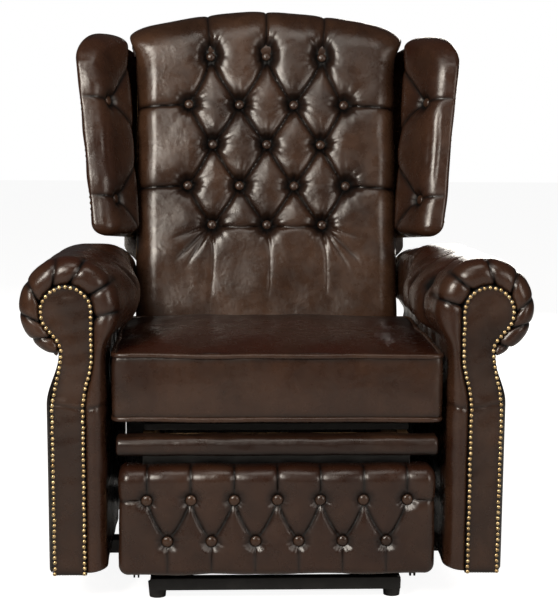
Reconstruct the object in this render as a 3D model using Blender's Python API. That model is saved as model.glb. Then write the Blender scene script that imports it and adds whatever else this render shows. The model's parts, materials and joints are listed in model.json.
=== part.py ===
"""Wing-back recliner armchair with a deep-buttoned back, scroll arms and a pantograph footrest.

Metres, +Z up. The chair faces -Y, the sitter's left is +X, and the origin is on the floor under the
middle of the chair. "Side" coordinates are (y, z); "front" coordinates are (x, z). Pieces of the back
are modelled upright around the recline hinge and are tilted by the empty they are parented to.
"""

import math

import bmesh
import bpy
from mathutils import Matrix, Vector

# ---------------------------------------------------------------- driving dimensions
GAP = 0.0003                # air left between pieces that touch
SUNK = 0.001                # how deep a pin's root or a weld lies in its own piece
SIDES = (("left", 1), ("right", -1))

# Seat and cushion. The chair's width follows the cushion's, and its heights follow the rails'.
CUSHION_HALF_WIDTH = 0.306
FRONT_Y = -0.435            # foremost face of the seat cushion and the footrest
CUSHION_REAR_Y = 0.082
CUSHION_THICKNESS = 0.145
RAIL_BOTTOM = 0.262
RAIL_HEIGHT = 0.056
RAIL_THICKNESS = 0.0222
SEAT_FRAME_INSET = 0.0583   # from the cushion's side to the seat frame's
SEAT_FRAME_FRONT_Y = FRONT_Y + 0.050
SEAT_FRAME_REAR_Y = 0.107
SEAT_ROLL_DEPTH = 0.0427
SEAT_ROLL_HEIGHT = 0.038
SEAT_ROLL_INSET = 0.010
SPRING_WIRE = 0.002
SPRING_COUNT = 4
SPRING_SPACING = 0.110
SPRING_SWING = 0.024
SPRING_PITCH = 0.064
DECK_THICKNESS = 0.013

# Floor frame
FOOT_RADIUS = 0.018
FOOT_HEIGHT = 0.0277
FOOT_FRONT_Y = FRONT_Y + 0.090
FOOT_REAR_Y = 0.220
RUNNER_WIDTH = 0.025
RUNNER_HEIGHT = 0.018
RUNNER_OVERHANG = 0.0185    # runner beyond each foot's centre
CROSS_WIDTH = 0.040
CROSS_HEIGHT = 0.028
CROSS_Y = (-0.200, 0.200)
FRONT_BAR_DEPTH = 0.022
FRONT_BAR_LOW = 0.022

# Arms, outwards from the flat of the inside arm
ARM_CLEARANCE = 0.007       # cushion to arm
ARM_REAR_Y = 0.290
ARM_BOTTOM = 0.065
ARM_INNER_PADDING = 0.027
ARM_FRAME_THICKNESS = 0.018
ARM_POST_DEPTH = 0.030
OUTSIDE_ARM_THICKNESS = 0.008
FACING_FRONT_Y = FRONT_Y + 0.005
FACING_THICKNESS = 0.0185
ROLL_OFFSET = 0.065         # from the inside arm to the middle of the roll
ROLL_LIP = 0.024            # the roll's padding ends this far past its middle, over the outside arm
ROLL_HEIGHT = (0.559, 0.550, 0.520)    # middle of the roll at the front, part way and the rear
ROLL_RADIUS = (0.092, 0.088, 0.080)
SCROLL_OFFSET = 0.070       # from the inside arm to the middle of the facing's scroll
SCROLL_Z = 0.553
SCROLL_RADIUS = 0.045
SCROLL_START_DEG = -35.0    # where the outer edge joins the scroll
FACING_EDGE = 0.004         # leather outside the nail line
NAIL_BAND = 0.0035          # half width of the nail strip
NAIL_PROUD = 0.003
APRON_THICKNESS = 0.024     # the padded panel that closes the rear between the arms
APRON_TOP = 0.300

# Back, upright around its hinge
BACK_TILT = math.radians(13)
RECLINE = math.radians(35)
SEAT_GLIDE = 0.060
HINGE_Y = 0.200
HINGE_ABOVE_RAIL = 0.058    # above the seat rail's underside
BACK_INSET = 0.021          # from the cushion's side to the back's
BACK_FRONT = -0.125
BACK_PAD_BOTTOM = 0.045
BACK_PAD_CORNER = 0.765     # height of the pad's top at its sides
BACK_ARCH = 0.045           # rise of the top from its sides to its middle
BACK_PAD_SIDES = 8
STILE_DEPTH = 0.050
STILE_BOTTOM = -0.060
BACK_RAIL_HEIGHT = 0.060
OUTSIDE_BACK_THICKNESS = 0.012
OUTSIDE_BACK_BOTTOM = 0.0
OUTSIDE_BACK_WAIST = 0.303  # above the arms it widens to the wings

# Wings
WING_REAR_OFFSET = 0.033    # from the back's side to the wing's outer face where it meets the outside back
WING_FRONT = -0.235
WING_REAR = 0.050
WING_FLARE_TOP = 0.095      # how far the front edge stands out sideways, at the top
WING_FLARE_BOTTOM = 0.050
WING_BOTTOM_FRONT = 0.285
WING_BOTTOM_REAR = 0.322
WING_FRAME_THICKNESS = 0.030
WING_PAD_THICKNESS = 0.0215
WING_PAD_REAR = BACK_FRONT - 0.007
WING_CORNER = 0.085

# Footrest linkage, in side coordinates. Angles are from straight down, growing towards the front.
LINK_PIVOT = (FRONT_Y + 0.110, RAIL_BOTTOM - 0.015)
LINK_LENGTH = 0.160
LINK_START = math.radians(-3)
DRIVE_END = math.radians(75)
LONG_END = math.radians(60)
KNEE_ARM = 0.050            # from the drive link's knee to the short link's pivot
KNEE_BEND = math.radians(28)
TAIL = 0.038                # the long link's tail past the knee
GUIDE_REACH = 0.100         # from the middle of the tail's travel to the guide link's pivot
LINK_HALF_WIDTH = 0.009
LINK_THICKNESS = 0.003
LAYER_GAP = 0.001
PIN_RADIUS = 0.004
PIN_CLEARANCE = 0.0007
TUBE_RADIUS = 0.008
TUBE_CLEARANCE = 0.0012

# Seat mechanism
PLATE_THICKNESS = 0.004
TRACK_DEPTH = 0.020
TRACK_HEIGHT = 0.030
TRACK_WALL = 0.004
TRACK_CLEARANCE = 0.0015
TRACK_TOP_DROP = 0.017      # from the seat rail's underside to the tracks' top
BASE_PLATE_Y = (-0.270, 0.245)
BASE_PLATE_FOOT = 0.042     # width of the base plates' foot flanges
SLIDE_Y = (-0.250, 0.200)
SLIDE_FLANGE_REAR_Y = 0.050  # the slides are welded to the seat plates in front of the swing links
SWING_ARM = 0.090           # from the recline hinge down to the swing link's upper pivot
SWING_REACH = 0.120
HINGE_PIN_RADIUS = 0.006

# Footrest
BOARD_BEHIND_FRONT = 0.070  # from the footrest's front face to the board's back
BOARD_THICKNESS = 0.012
BOARD_INSET = 0.0055
BOARD_Z = (0.075, RAIL_BOTTOM - 0.022)
FOOTREST_INSET = 0.0145     # from the cushion's side to the footrest's
FOOTREST_Z = (0.063, RAIL_BOTTOM + 0.005)
FLANGE_WIDTH = 0.017


# ---------------------------------------------------------------- derived places
def turned(angle):
    """The side direction that lies at this angle from straight down, towards the front."""
    return Vector((-math.sin(angle), -math.cos(angle)))


def linkage(drive_angle, long_angle):
    """The footrest linkage's pivots, in side coordinates, with the links at these angles."""
    pivot = Vector(LINK_PIVOT)
    knee = pivot + LINK_LENGTH * turned(drive_angle)
    along = -turned(-long_angle)
    offset = KNEE_ARM * turned(drive_angle + KNEE_BEND)
    far = knee + LINK_LENGTH * along
    return {"knee": knee, "knee_arm": knee + offset, "foot": far, "foot_arm": far + offset,
            "tail": knee - TAIL * along}


CLOSED = linkage(LINK_START, LINK_START)
OPENED = linkage(DRIVE_END, LONG_END)


def beside(first, second, reach):
    """The point at this distance from the middle of two points, square to their line."""
    across = (second - first).normalized()
    return (first + second) / 2 + reach * Vector((across.y, -across.x))


GUIDE_PIVOT = beside(CLOSED["tail"], OPENED["tail"], GUIDE_REACH)
HINGE = Vector((HINGE_Y, RAIL_BOTTOM + HINGE_ABOVE_RAIL))
SWING_TOP = HINGE + Vector((0, -SWING_ARM))
SWING_TOP_RECLINED = HINGE + Vector((-SEAT_GLIDE, 0)) + SWING_ARM * turned(RECLINE)
SWING_PIVOT = beside(SWING_TOP, SWING_TOP_RECLINED, -SWING_REACH)

# Across the chair, from the middle outwards
SEAT_FRAME_HALF_WIDTH = CUSHION_HALF_WIDTH - SEAT_FRAME_INSET
SWING_X = SEAT_FRAME_HALF_WIDTH - LINK_THICKNESS - LAYER_GAP - GAP
BASE_PLATE_X = SWING_X - PLATE_THICKNESS - LAYER_GAP
TRACK_X = BASE_PLATE_X + PLATE_THICKNESS - TRACK_DEPTH
FOOT_X = TRACK_X
SEAT_PLATE_X = SEAT_FRAME_HALF_WIDTH + GAP
SEAT_PLATE_OUTER_X = SEAT_PLATE_X + PLATE_THICKNESS
GUIDE_X = SEAT_PLATE_OUTER_X + LAYER_GAP
DRIVE_X = GUIDE_X + LINK_THICKNESS + LAYER_GAP
LONG_X = DRIVE_X + LINK_THICKNESS + LAYER_GAP
SHORT_X = LONG_X + LINK_THICKNESS + LAYER_GAP
BRACKET_X = SHORT_X + LINK_THICKNESS + LAYER_GAP
BACK_BRACKET_X = SEAT_PLATE_OUTER_X + 1.5 * LAYER_GAP
STILE_X = BACK_BRACKET_X + PLATE_THICKNESS + GAP
BACK_HALF_WIDTH = CUSHION_HALF_WIDTH - BACK_INSET
WING_REAR_X = BACK_HALF_WIDTH + WING_REAR_OFFSET
STILE_OUTER_X = WING_REAR_X - WING_FRAME_THICKNESS - GAP
FOOTREST_HALF_WIDTH = CUSHION_HALF_WIDTH - FOOTREST_INSET
SEAT_ROLL_HALF_WIDTH = CUSHION_HALF_WIDTH - SEAT_ROLL_INSET
ARM_INNER_X = CUSHION_HALF_WIDTH + ARM_CLEARANCE
ARM_FRAME_X = ARM_INNER_X + ARM_INNER_PADDING
ARM_FRAME_OUTER_X = ARM_FRAME_X + ARM_FRAME_THICKNESS
ROLL_X = ARM_INNER_X + ROLL_OFFSET
SCROLL_X = ARM_INNER_X + SCROLL_OFFSET
ARM_NECK_X = ROLL_X + 0.020
ARM_POST_OUTER_X = ARM_NECK_X - OUTSIDE_ARM_THICKNESS
CROSS_HALF_LENGTH = ARM_POST_OUTER_X + 0.005

# Along it and upwards
FACING_BACK_Y = FACING_FRONT_Y + FACING_THICKNESS
ARM_FRONT_Y = FACING_BACK_Y + 2 * GAP
ROLL_SECTIONS = tuple(zip((ARM_FRONT_Y, (ARM_FRONT_Y + ARM_REAR_Y) / 2 + 0.060, ARM_REAR_Y),
                          ROLL_HEIGHT, ROLL_RADIUS))
ARM_FRAME_TOP = ROLL_HEIGHT[0] + 0.001
ARM_POST_TOP = ROLL_HEIGHT[2] - ROLL_RADIUS[2] - 0.005
RUNNER_BOTTOM = FOOT_HEIGHT + GAP
CROSS_BOTTOM = RUNNER_BOTTOM + RUNNER_HEIGHT + GAP
CROSS_TOP = CROSS_BOTTOM + CROSS_HEIGHT
ARM_FRAME_BOTTOM = CROSS_TOP + GAP
TRACK_TOP = RAIL_BOTTOM - TRACK_TOP_DROP
TRACK_BOTTOM = TRACK_TOP - TRACK_HEIGHT
DECK_BOTTOM = RAIL_BOTTOM + RAIL_HEIGHT + 4 * SPRING_WIRE + 0.001
CUSHION_BOTTOM = DECK_BOTTOM + DECK_THICKNESS + 0.005
CUSHION_TOP = CUSHION_BOTTOM + CUSHION_THICKNESS
SEAT_ROLL_TOP = CUSHION_BOTTOM - 0.022
BOARD_BACK_Y = FRONT_Y + BOARD_BEHIND_FRONT
FRAME_TOP = BACK_PAD_CORNER - 0.065
WING_TOP = BACK_PAD_CORNER - 0.020
OUTSIDE_BACK_CORNER = BACK_PAD_CORNER - 0.025
HOLE_RADIUS = PIN_RADIUS + PIN_CLEARANCE
TUBE_HOLE_RADIUS = TUBE_RADIUS + TUBE_CLEARANCE
HINGE_HOLE_RADIUS = HINGE_PIN_RADIUS + PIN_CLEARANCE


# ---------------------------------------------------------------- scene helpers
def clear_scene():
    for obj in list(bpy.data.objects):
        bpy.data.objects.remove(obj, do_unlink=True)


def material(name, colour, roughness, metallic=0.0):
    made = bpy.data.materials.new(name)
    made.use_nodes = True
    shader = made.node_tree.nodes["Principled BSDF"]
    shader.inputs["Base Color"].default_value = (*colour, 1)
    shader.inputs["Roughness"].default_value = roughness
    shader.inputs["Metallic"].default_value = metallic
    return made


def pivot(name, side_point, tilt=0.0, parent=None):
    """An empty on a joint's axis. Its pieces are modelled around it when it is tilted."""
    empty = bpy.data.objects.new(name, None)
    bpy.context.scene.collection.objects.link(empty)
    empty.location = (0, side_point[0], side_point[1])
    empty.rotation_euler.x = -tilt
    empty["local"] = tilt != 0
    empty.parent = parent
    return empty


def add(name, shape, finish, parent=None, smooth=False):
    """Makes the object of a bmesh, and moves its origin to its parent's joint."""
    if parent is not None and not parent["local"]:
        bmesh.ops.translate(shape, verts=shape.verts, vec=-parent.location)
    bmesh.ops.recalc_face_normals(shape, faces=shape.faces)
    mesh = bpy.data.meshes.new(name)
    shape.to_mesh(mesh)
    shape.free()
    if smooth:
        mesh.shade_smooth()
        mesh.set_sharp_from_angle(angle=math.radians(40))
    obj = bpy.data.objects.new(name, mesh)
    bpy.context.scene.collection.objects.link(obj)
    obj.parent = parent
    if finish is None:
        obj.hide_render = True
        obj.display_type = "WIRE"
    else:
        mesh.materials.append(finish)
    return obj


def combine(obj, tool, operation):
    modifier = obj.modifiers.new(tool.name, "BOOLEAN")
    modifier.object = tool
    modifier.operation = operation
    modifier.solver = "EXACT"


def soften(obj, width, segments=2):
    modifier = obj.modifiers.new("soften", "BEVEL")
    modifier.width = width
    modifier.segments = segments
    modifier.limit_method = "ANGLE"
    modifier.angle_limit = math.radians(40)


# ---------------------------------------------------------------- shape helpers
def place(plane, a, b, depth):
    """The 3-D point of an outline's point (a, b) at this depth across the outline's plane."""
    return {"side": (depth, a, b), "front": (a, depth, b)}[plane]


def prism_mesh(outline, plane, low, high):
    shape = bmesh.new()
    corners = [shape.verts.new(place(plane, a, b, low)) for a, b in outline]
    cap = shape.faces.new(corners)
    moved = bmesh.ops.extrude_face_region(shape, geom=[cap])["geom"]
    away = Vector(place(plane, 0, 0, high - low))
    bmesh.ops.translate(shape, verts=[v for v in moved if isinstance(v, bmesh.types.BMVert)], vec=away)
    if not any(f for f in shape.faces if len(f.verts) == len(corners) and corners[0] in f.verts):
        shape.faces.new(corners)
    return shape


def prism(name, outline, plane, low, high, finish, parent=None):
    return add(name, prism_mesh(outline, plane, low, high), finish, parent)


def box(name, x, y, z, finish, parent=None, edge=0.0):
    shape = bmesh.new()
    size = Vector((x[1] - x[0], y[1] - y[0], z[1] - z[0]))
    middle = Vector((x[0] + x[1], y[0] + y[1], z[0] + z[1])) / 2
    bmesh.ops.create_cube(shape, size=1, matrix=Matrix.Translation(middle) @ Matrix.Diagonal((*size, 1)))
    obj = add(name, shape, finish, parent)
    if edge:
        soften(obj, edge)
    return obj


def across(sign, inner, outer):
    """An x range on one side of the chair."""
    return sorted((sign * inner, sign * outer))


def rod(name, x, centre, radius, finish=None, parent=None, sides=12):
    """A round bar along X at a side point."""
    shape = bmesh.new()
    turn = Matrix.Rotation(math.pi / 2, 4, "Y")
    middle = Matrix.Translation(((x[0] + x[1]) / 2, centre[0], centre[1]))
    bmesh.ops.create_cone(shape, cap_ends=True, segments=sides, radius1=radius, radius2=radius,
                          depth=abs(x[1] - x[0]), matrix=middle @ turn)
    return add(name, shape, finish, parent)


def loft(name, sections, finish, parent=None):
    """Joins rings of equally many 3-D points, and closes both ends."""
    shape = bmesh.new()
    rings = [[shape.verts.new(p) for p in section] for section in sections]
    count = len(rings[0])
    for first, second in zip(rings, rings[1:]):
        for i in range(count):
            j = (i + 1) % count
            shape.faces.new((first[i], first[j], second[j], second[i]))
    shape.faces.new(rings[0][::-1])
    shape.faces.new(rings[-1])
    return add(name, shape, finish, parent)


def arc(centre, radius, start_deg, end_deg, steps):
    """Points of a circle in a plane, both ends included."""
    turns = [math.radians(start_deg + (end_deg - start_deg) * i / steps) for i in range(steps + 1)]
    return [Vector((centre[0] + radius * math.cos(t), centre[1] + radius * math.sin(t))) for t in turns]


def bezier(start, handle, far_handle, end, steps):
    """Points of a cubic curve, without its last."""
    points = []
    for i in range(steps):
        t = i / steps
        u = 1 - t
        points.append(u ** 3 * Vector(start) + 3 * u * u * t * Vector(handle)
                      + 3 * u * t * t * Vector(far_handle) + t ** 3 * Vector(end))
    return points


def eased(start, end, steps):
    """Points of an S-bend from one vertical run to another, without its last."""
    points = []
    for i in range(steps):
        t = i / steps
        share = (1 - math.cos(math.pi * t)) / 2
        points.append(Vector((start[0] + (end[0] - start[0]) * share, start[1] + (end[1] - start[1]) * t)))
    return points


def offset(path, distance):
    """An open path moved sideways, to its left."""
    moved = []
    for i, point in enumerate(path):
        before = path[max(i - 1, 0)]
        after = path[min(i + 1, len(path) - 1)]
        along = (after - before).normalized()
        moved.append(point + distance * Vector((-along.y, along.x)))
    return moved


def stadium(first, second, half_width):
    """A bar with round ends between two side points."""
    heading = math.degrees(math.atan2(second[1] - first[1], second[0] - first[0]))
    return arc(second, half_width, heading - 90, heading + 90, 6) + arc(
        first, half_width, heading + 90, heading + 270, 6)


# ---------------------------------------------------------------- joints' own pieces
def link(name, sign, inner_x, centres, finish, parent, holes=(), pins=(), half_width=LINK_HALF_WIDTH,
         thickness=LINK_THICKNESS):
    """A flat link through these pivots. Holes are (centre, radius); pins are (centre, radius, from, to)."""
    layer = across(sign, inner_x, inner_x + thickness)
    obj = prism(name, stadium(centres[0], centres[1], half_width), "side", *layer, finish, parent)
    for i, (first, second) in enumerate(zip(centres[1:], centres[2:])):
        arm = prism(f"{name}_arm{i}", stadium(first, second, half_width), "side", *layer, None, parent)
        combine(obj, arm, "UNION")
    drill_and_pin(obj, sign, holes, pins, parent)
    return obj


def drill_and_pin(obj, sign, holes, pins, parent):
    reach = across(sign, SWING_X - 0.05, BRACKET_X + 0.05)
    for i, (centre, radius) in enumerate(holes):
        drill = rod(f"{obj.name}_drill{i}", reach, centre, radius, None, parent)
        combine(obj, drill, "DIFFERENCE")
    for i, (centre, radius, inner, outer) in enumerate(pins):
        pin = rod(f"{obj.name}_pin{i}", across(sign, inner, outer), centre, radius, None, parent)
        combine(obj, pin, "UNION")


# ---------------------------------------------------------------- floor frame
def floor_frame(steel, black):
    foot_places = (("front", FOOT_FRONT_Y), ("rear", FOOT_REAR_Y))
    for side, sign in SIDES:
        for end, y in foot_places:
            shape = bmesh.new()
            bmesh.ops.create_cone(shape, cap_ends=True, segments=20, radius1=FOOT_RADIUS * 0.86,
                                  radius2=FOOT_RADIUS, depth=FOOT_HEIGHT,
                                  matrix=Matrix.Translation((sign * FOOT_X, y, FOOT_HEIGHT / 2)))
            add(f"foot_{end}_{side}", shape, black, smooth=True)
    runner_z = (RUNNER_BOTTOM, RUNNER_BOTTOM + RUNNER_HEIGHT)
    front_y = FOOT_FRONT_Y - RUNNER_OVERHANG
    reach = FOOT_X + RUNNER_WIDTH / 2
    box("front_stretcher", (-reach, reach), (front_y - GAP - FRONT_BAR_DEPTH, front_y - GAP),
        (FRONT_BAR_LOW, runner_z[1]), steel, edge=0.002)
    for side, sign in SIDES:
        box(f"floor_runner_{side}", across(sign, reach - RUNNER_WIDTH, reach),
            (front_y, FOOT_REAR_Y + RUNNER_OVERHANG), runner_z, steel, edge=0.002)
    for end, y in zip(("front", "rear"), CROSS_Y):
        box(f"cross_rail_{end}", (-CROSS_HALF_LENGTH, CROSS_HALF_LENGTH),
            (y - CROSS_WIDTH / 2, y + CROSS_WIDTH / 2), (CROSS_BOTTOM, CROSS_TOP), steel, edge=0.002)


def rear_apron(leather):
    rear_y = ARM_REAR_Y - 0.002
    box("rear_apron", (-ARM_INNER_X + GAP, ARM_INNER_X - GAP), (rear_y - APRON_THICKNESS, rear_y),
        (ARM_FRAME_BOTTOM, APRON_TOP), leather, edge=0.006)


# ---------------------------------------------------------------- arms
def nail_line():
    """The facing's row of nails, from the foot of its outer edge over the scroll to its inner edge's foot."""
    joint = arc((SCROLL_X, SCROLL_Z), SCROLL_RADIUS, SCROLL_START_DEG, SCROLL_START_DEG, 1)[0]
    heading = math.radians(SCROLL_START_DEG + 90)
    into_scroll = joint - 0.020 * Vector((math.cos(heading), math.sin(heading)))
    neck_outer = Vector((SCROLL_X + 0.009, SCROLL_Z - 0.071))
    neck_inner = Vector((SCROLL_X - SCROLL_RADIUS, SCROLL_Z - 0.083))
    hip_outer = Vector((SCROLL_X + 0.026, SCROLL_Z - 0.181))
    hip_inner = Vector((SCROLL_X - 0.029, SCROLL_Z - 0.173))
    foot_outer = Vector((SCROLL_X + 0.024, ARM_BOTTOM + FACING_EDGE))
    foot_inner = Vector((SCROLL_X - 0.030, ARM_BOTTOM + FACING_EDGE))
    return ([foot_outer] + eased(hip_outer, neck_outer, 6)
            + bezier(neck_outer, neck_outer + Vector((0, 0.018)), into_scroll, joint, 5)
            + arc((SCROLL_X, SCROLL_Z), SCROLL_RADIUS, SCROLL_START_DEG, 180, 16)
            + eased(neck_inner, hip_inner, 6) + [hip_inner, foot_inner])


def mirrored(points, sign):
    return [(sign * p[0], p[1]) for p in points]


def roll_lip(centre_z, radius):
    """The angle and the height at which the roll's underside meets the outside arm."""
    lip = math.asin(ROLL_LIP / radius) - math.pi / 2
    return math.degrees(lip), centre_z + radius * math.sin(lip) - 0.002


def outside_section(y, centre_z, radius):
    """One cross-section of the outside arm, from its foot up to the underside of the roll."""
    top = roll_lip(centre_z, radius)[1] - GAP
    hip = ARM_NECK_X + 0.023
    outer = [Vector((hip - 0.002, ARM_BOTTOM))] + eased((hip, top - 0.093), (ARM_NECK_X, top), 6)
    outer.append(Vector((ARM_NECK_X, top)))
    inner = offset(outer, OUTSIDE_ARM_THICKNESS)
    inner[0].y = ARM_BOTTOM
    inner[-1].y = top
    return [(x, y, z) for x, z in outer + inner[::-1]]


def roll_section(y, centre_z, radius):
    """One cross-section of the arm's padding: the roll over the frame's top, and the inside arm."""
    slot_low = ARM_FRAME_X - GAP
    slot_high = ARM_FRAME_OUTER_X + GAP
    lip, under = roll_lip(centre_z, radius)
    roll = arc((ROLL_X, centre_z), radius, lip, 218, 22)
    inside = [(ARM_INNER_X, centre_z - radius), (ARM_INNER_X, ARM_FRAME_BOTTOM), (slot_low, ARM_FRAME_BOTTOM)]
    slot = [(slot_low, ARM_FRAME_TOP + GAP), (slot_high, ARM_FRAME_TOP + GAP), (slot_high, under)]
    outline = roll + inside + slot
    return [(x, y, z) for x, z in outline]


def arms(wood, leather, brass):
    line = nail_line()
    for side, sign in SIDES:
        frame = box(f"arm_frame_{side}", across(sign, ARM_FRAME_X, ARM_FRAME_OUTER_X),
                    (ARM_FRONT_Y, ARM_REAR_Y - 0.003), (ARM_FRAME_BOTTOM, ARM_FRAME_TOP), wood)
        for end, y in (("front", ARM_FRONT_Y), ("rear", ARM_REAR_Y - 0.003 - ARM_POST_DEPTH)):
            post = box(f"arm_post_{end}_{side}", across(sign, ARM_FRAME_X + 0.005, ARM_POST_OUTER_X),
                       (y, y + ARM_POST_DEPTH), (ARM_FRAME_BOTTOM, ARM_POST_TOP), None)
            combine(frame, post, "UNION")
        for piece, section_of in (("arm_pad", roll_section), ("outside_arm", outside_section)):
            sections = [[(sign * x, y, z) for x, y, z in section_of(*place_)] for place_ in ROLL_SECTIONS]
            loft(f"{piece}_{side}", sections, leather)
        edge = offset(line, -FACING_EDGE)
        foot = [Vector((edge[-1].x, ARM_BOTTOM)), Vector((edge[0].x, ARM_BOTTOM))]
        prism(f"arm_facing_{side}", mirrored(edge + foot, sign), "front",
              FACING_FRONT_Y, FACING_BACK_Y, leather)
        band = offset(line, -NAIL_BAND) + offset(line, NAIL_BAND)[::-1]
        prism(f"nail_strip_{side}", mirrored(band, sign), "front",
              FACING_FRONT_Y - GAP - NAIL_PROUD, FACING_FRONT_Y - GAP, brass)


# ---------------------------------------------------------------- seat
def seat_frame(wood, seat):
    rail_z = (RAIL_BOTTOM, RAIL_BOTTOM + RAIL_HEIGHT)
    inner_x = SEAT_FRAME_HALF_WIDTH - RAIL_THICKNESS
    for side, sign in SIDES:
        box(f"seat_rail_{side}", across(sign, inner_x, SEAT_FRAME_HALF_WIDTH),
            (SEAT_FRAME_FRONT_Y, SEAT_FRAME_REAR_Y), rail_z, wood, seat, edge=0.002)
    between = (-inner_x + GAP, inner_x - GAP)
    box("seat_rail_front", between, (SEAT_FRAME_FRONT_Y, SEAT_FRAME_FRONT_Y + RAIL_THICKNESS),
        rail_z, wood, seat, edge=0.002)
    box("seat_rail_rear", between, (SEAT_FRAME_REAR_Y - RAIL_THICKNESS, SEAT_FRAME_REAR_Y),
        rail_z, wood, seat, edge=0.002)


def wire(name, points, radius, finish, parent):
    """A wire of square section along these points, as a mesh."""
    curve = bpy.data.curves.new(name, "CURVE")
    curve.dimensions = "3D"
    curve.bevel_depth = radius
    curve.bevel_resolution = 0
    curve.use_fill_caps = True
    spline = curve.splines.new("POLY")
    spline.points.add(len(points) - 1)
    for place_, point in zip(spline.points, points):
        place_.co = (*point, 1)
    guide = bpy.data.objects.new(name + "_path", curve)
    bpy.context.scene.collection.objects.link(guide)
    shape = bmesh.new()
    shape.from_mesh(guide.to_mesh())
    guide.to_mesh_clear()
    bpy.data.objects.remove(guide, do_unlink=True)
    bmesh.ops.remove_doubles(shape, verts=shape.verts, dist=1e-6)
    return add(name, shape, finish, parent)


def seat_springs(steel, seat):
    """Sinuous springs from the front rail to the rear rail, joined by two tie wires."""
    z = RAIL_BOTTOM + RAIL_HEIGHT + 2 * SPRING_WIRE
    start = SEAT_FRAME_FRONT_Y + RAIL_THICKNESS / 2
    end = SEAT_FRAME_REAR_Y - RAIL_THICKNESS / 2
    bends = round((end - start) / SPRING_PITCH)
    pitch = (end - start) / bends
    unit = None
    for n in range(SPRING_COUNT):
        x = (n - (SPRING_COUNT - 1) / 2) * SPRING_SPACING
        points = []
        for i in range(bends):
            y = start + i * pitch
            for share, swing in ((0.0, -1), (0.4, -1), (0.5, 1), (0.9, 1)):
                points.append((x + swing * SPRING_SWING, y + share * pitch, z))
        spring = wire(f"seat_springs{n or ''}", points, SPRING_WIRE, steel if n == 0 else None, seat)
        if unit is None:
            unit = spring
        else:
            combine(unit, spring, "UNION")
    reach = (SPRING_COUNT - 1) / 2 * SPRING_SPACING + SPRING_SWING
    for i, share in enumerate((0.37, 0.66)):
        y = start + share * (end - start)
        tie = wire(f"spring_tie{i}", [(-reach, y, z + 0.0004), (reach, y, z + 0.0004)], SPRING_WIRE * 0.8,
                   None, seat)
        combine(unit, tie, "UNION")


def seat_roll_outline():
    """The padded front roll in side coordinates: a flat back, and a rounded front."""
    round_ = 0.42 * SEAT_ROLL_HEIGHT
    back = SEAT_FRAME_FRONT_Y - GAP
    low, high, front = SEAT_ROLL_TOP - SEAT_ROLL_HEIGHT, SEAT_ROLL_TOP, back - SEAT_ROLL_DEPTH
    return ([(back, low)] + [tuple(p) for p in arc((front + round_, low + round_), round_, 270, 180, 4)]
            + [tuple(p) for p in arc((front + round_, high - round_), round_, 180, 90, 4)] + [(back, high)])


def seat_soft(leather, cloth, seat):
    deck_x = SEAT_FRAME_HALF_WIDTH - 0.0027
    box("seat_deck", (-deck_x, deck_x), (SEAT_FRAME_FRONT_Y, SEAT_FRAME_REAR_Y),
        (DECK_BOTTOM, DECK_BOTTOM + DECK_THICKNESS), cloth, seat, edge=0.003)
    prism("seat_front_roll", seat_roll_outline(), "side", -SEAT_ROLL_HALF_WIDTH, SEAT_ROLL_HALF_WIDTH,
          leather, seat)
    box("seat_cushion", (-CUSHION_HALF_WIDTH, CUSHION_HALF_WIDTH), (FRONT_Y, CUSHION_REAR_Y),
        (CUSHION_BOTTOM, CUSHION_TOP), leather, seat, edge=0.014)


def seat_plate_outline():
    """Each seat plate reaches from a lug for the guide link, along the seat rail, to the recline hinge."""
    lug = GUIDE_PIVOT
    front = LINK_PIVOT[0] - 0.020
    top = RAIL_BOTTOM + RAIL_HEIGHT / 2
    boss = HINGE_PIN_RADIUS + 0.011
    rear_low = (HINGE.x - 0.080, RAIL_BOTTOM - 0.017)
    crown = [tuple(p) for p in arc(HINGE, boss, 135, 0, 3)]
    return ([(front, top), (HINGE.x - 0.050, top)] + crown
            + [(HINGE.x + boss, HINGE.y - 0.012), (HINGE.x - 0.050, RAIL_BOTTOM), rear_low,
               (lug.x + 0.060, LINK_PIVOT[1] - 0.015), (lug.x + 0.016, lug.y - 0.010), (lug.x, lug.y - 0.016),
               (lug.x - 0.016, lug.y - 0.010), (front, LINK_PIVOT[1] - 0.012)])


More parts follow.
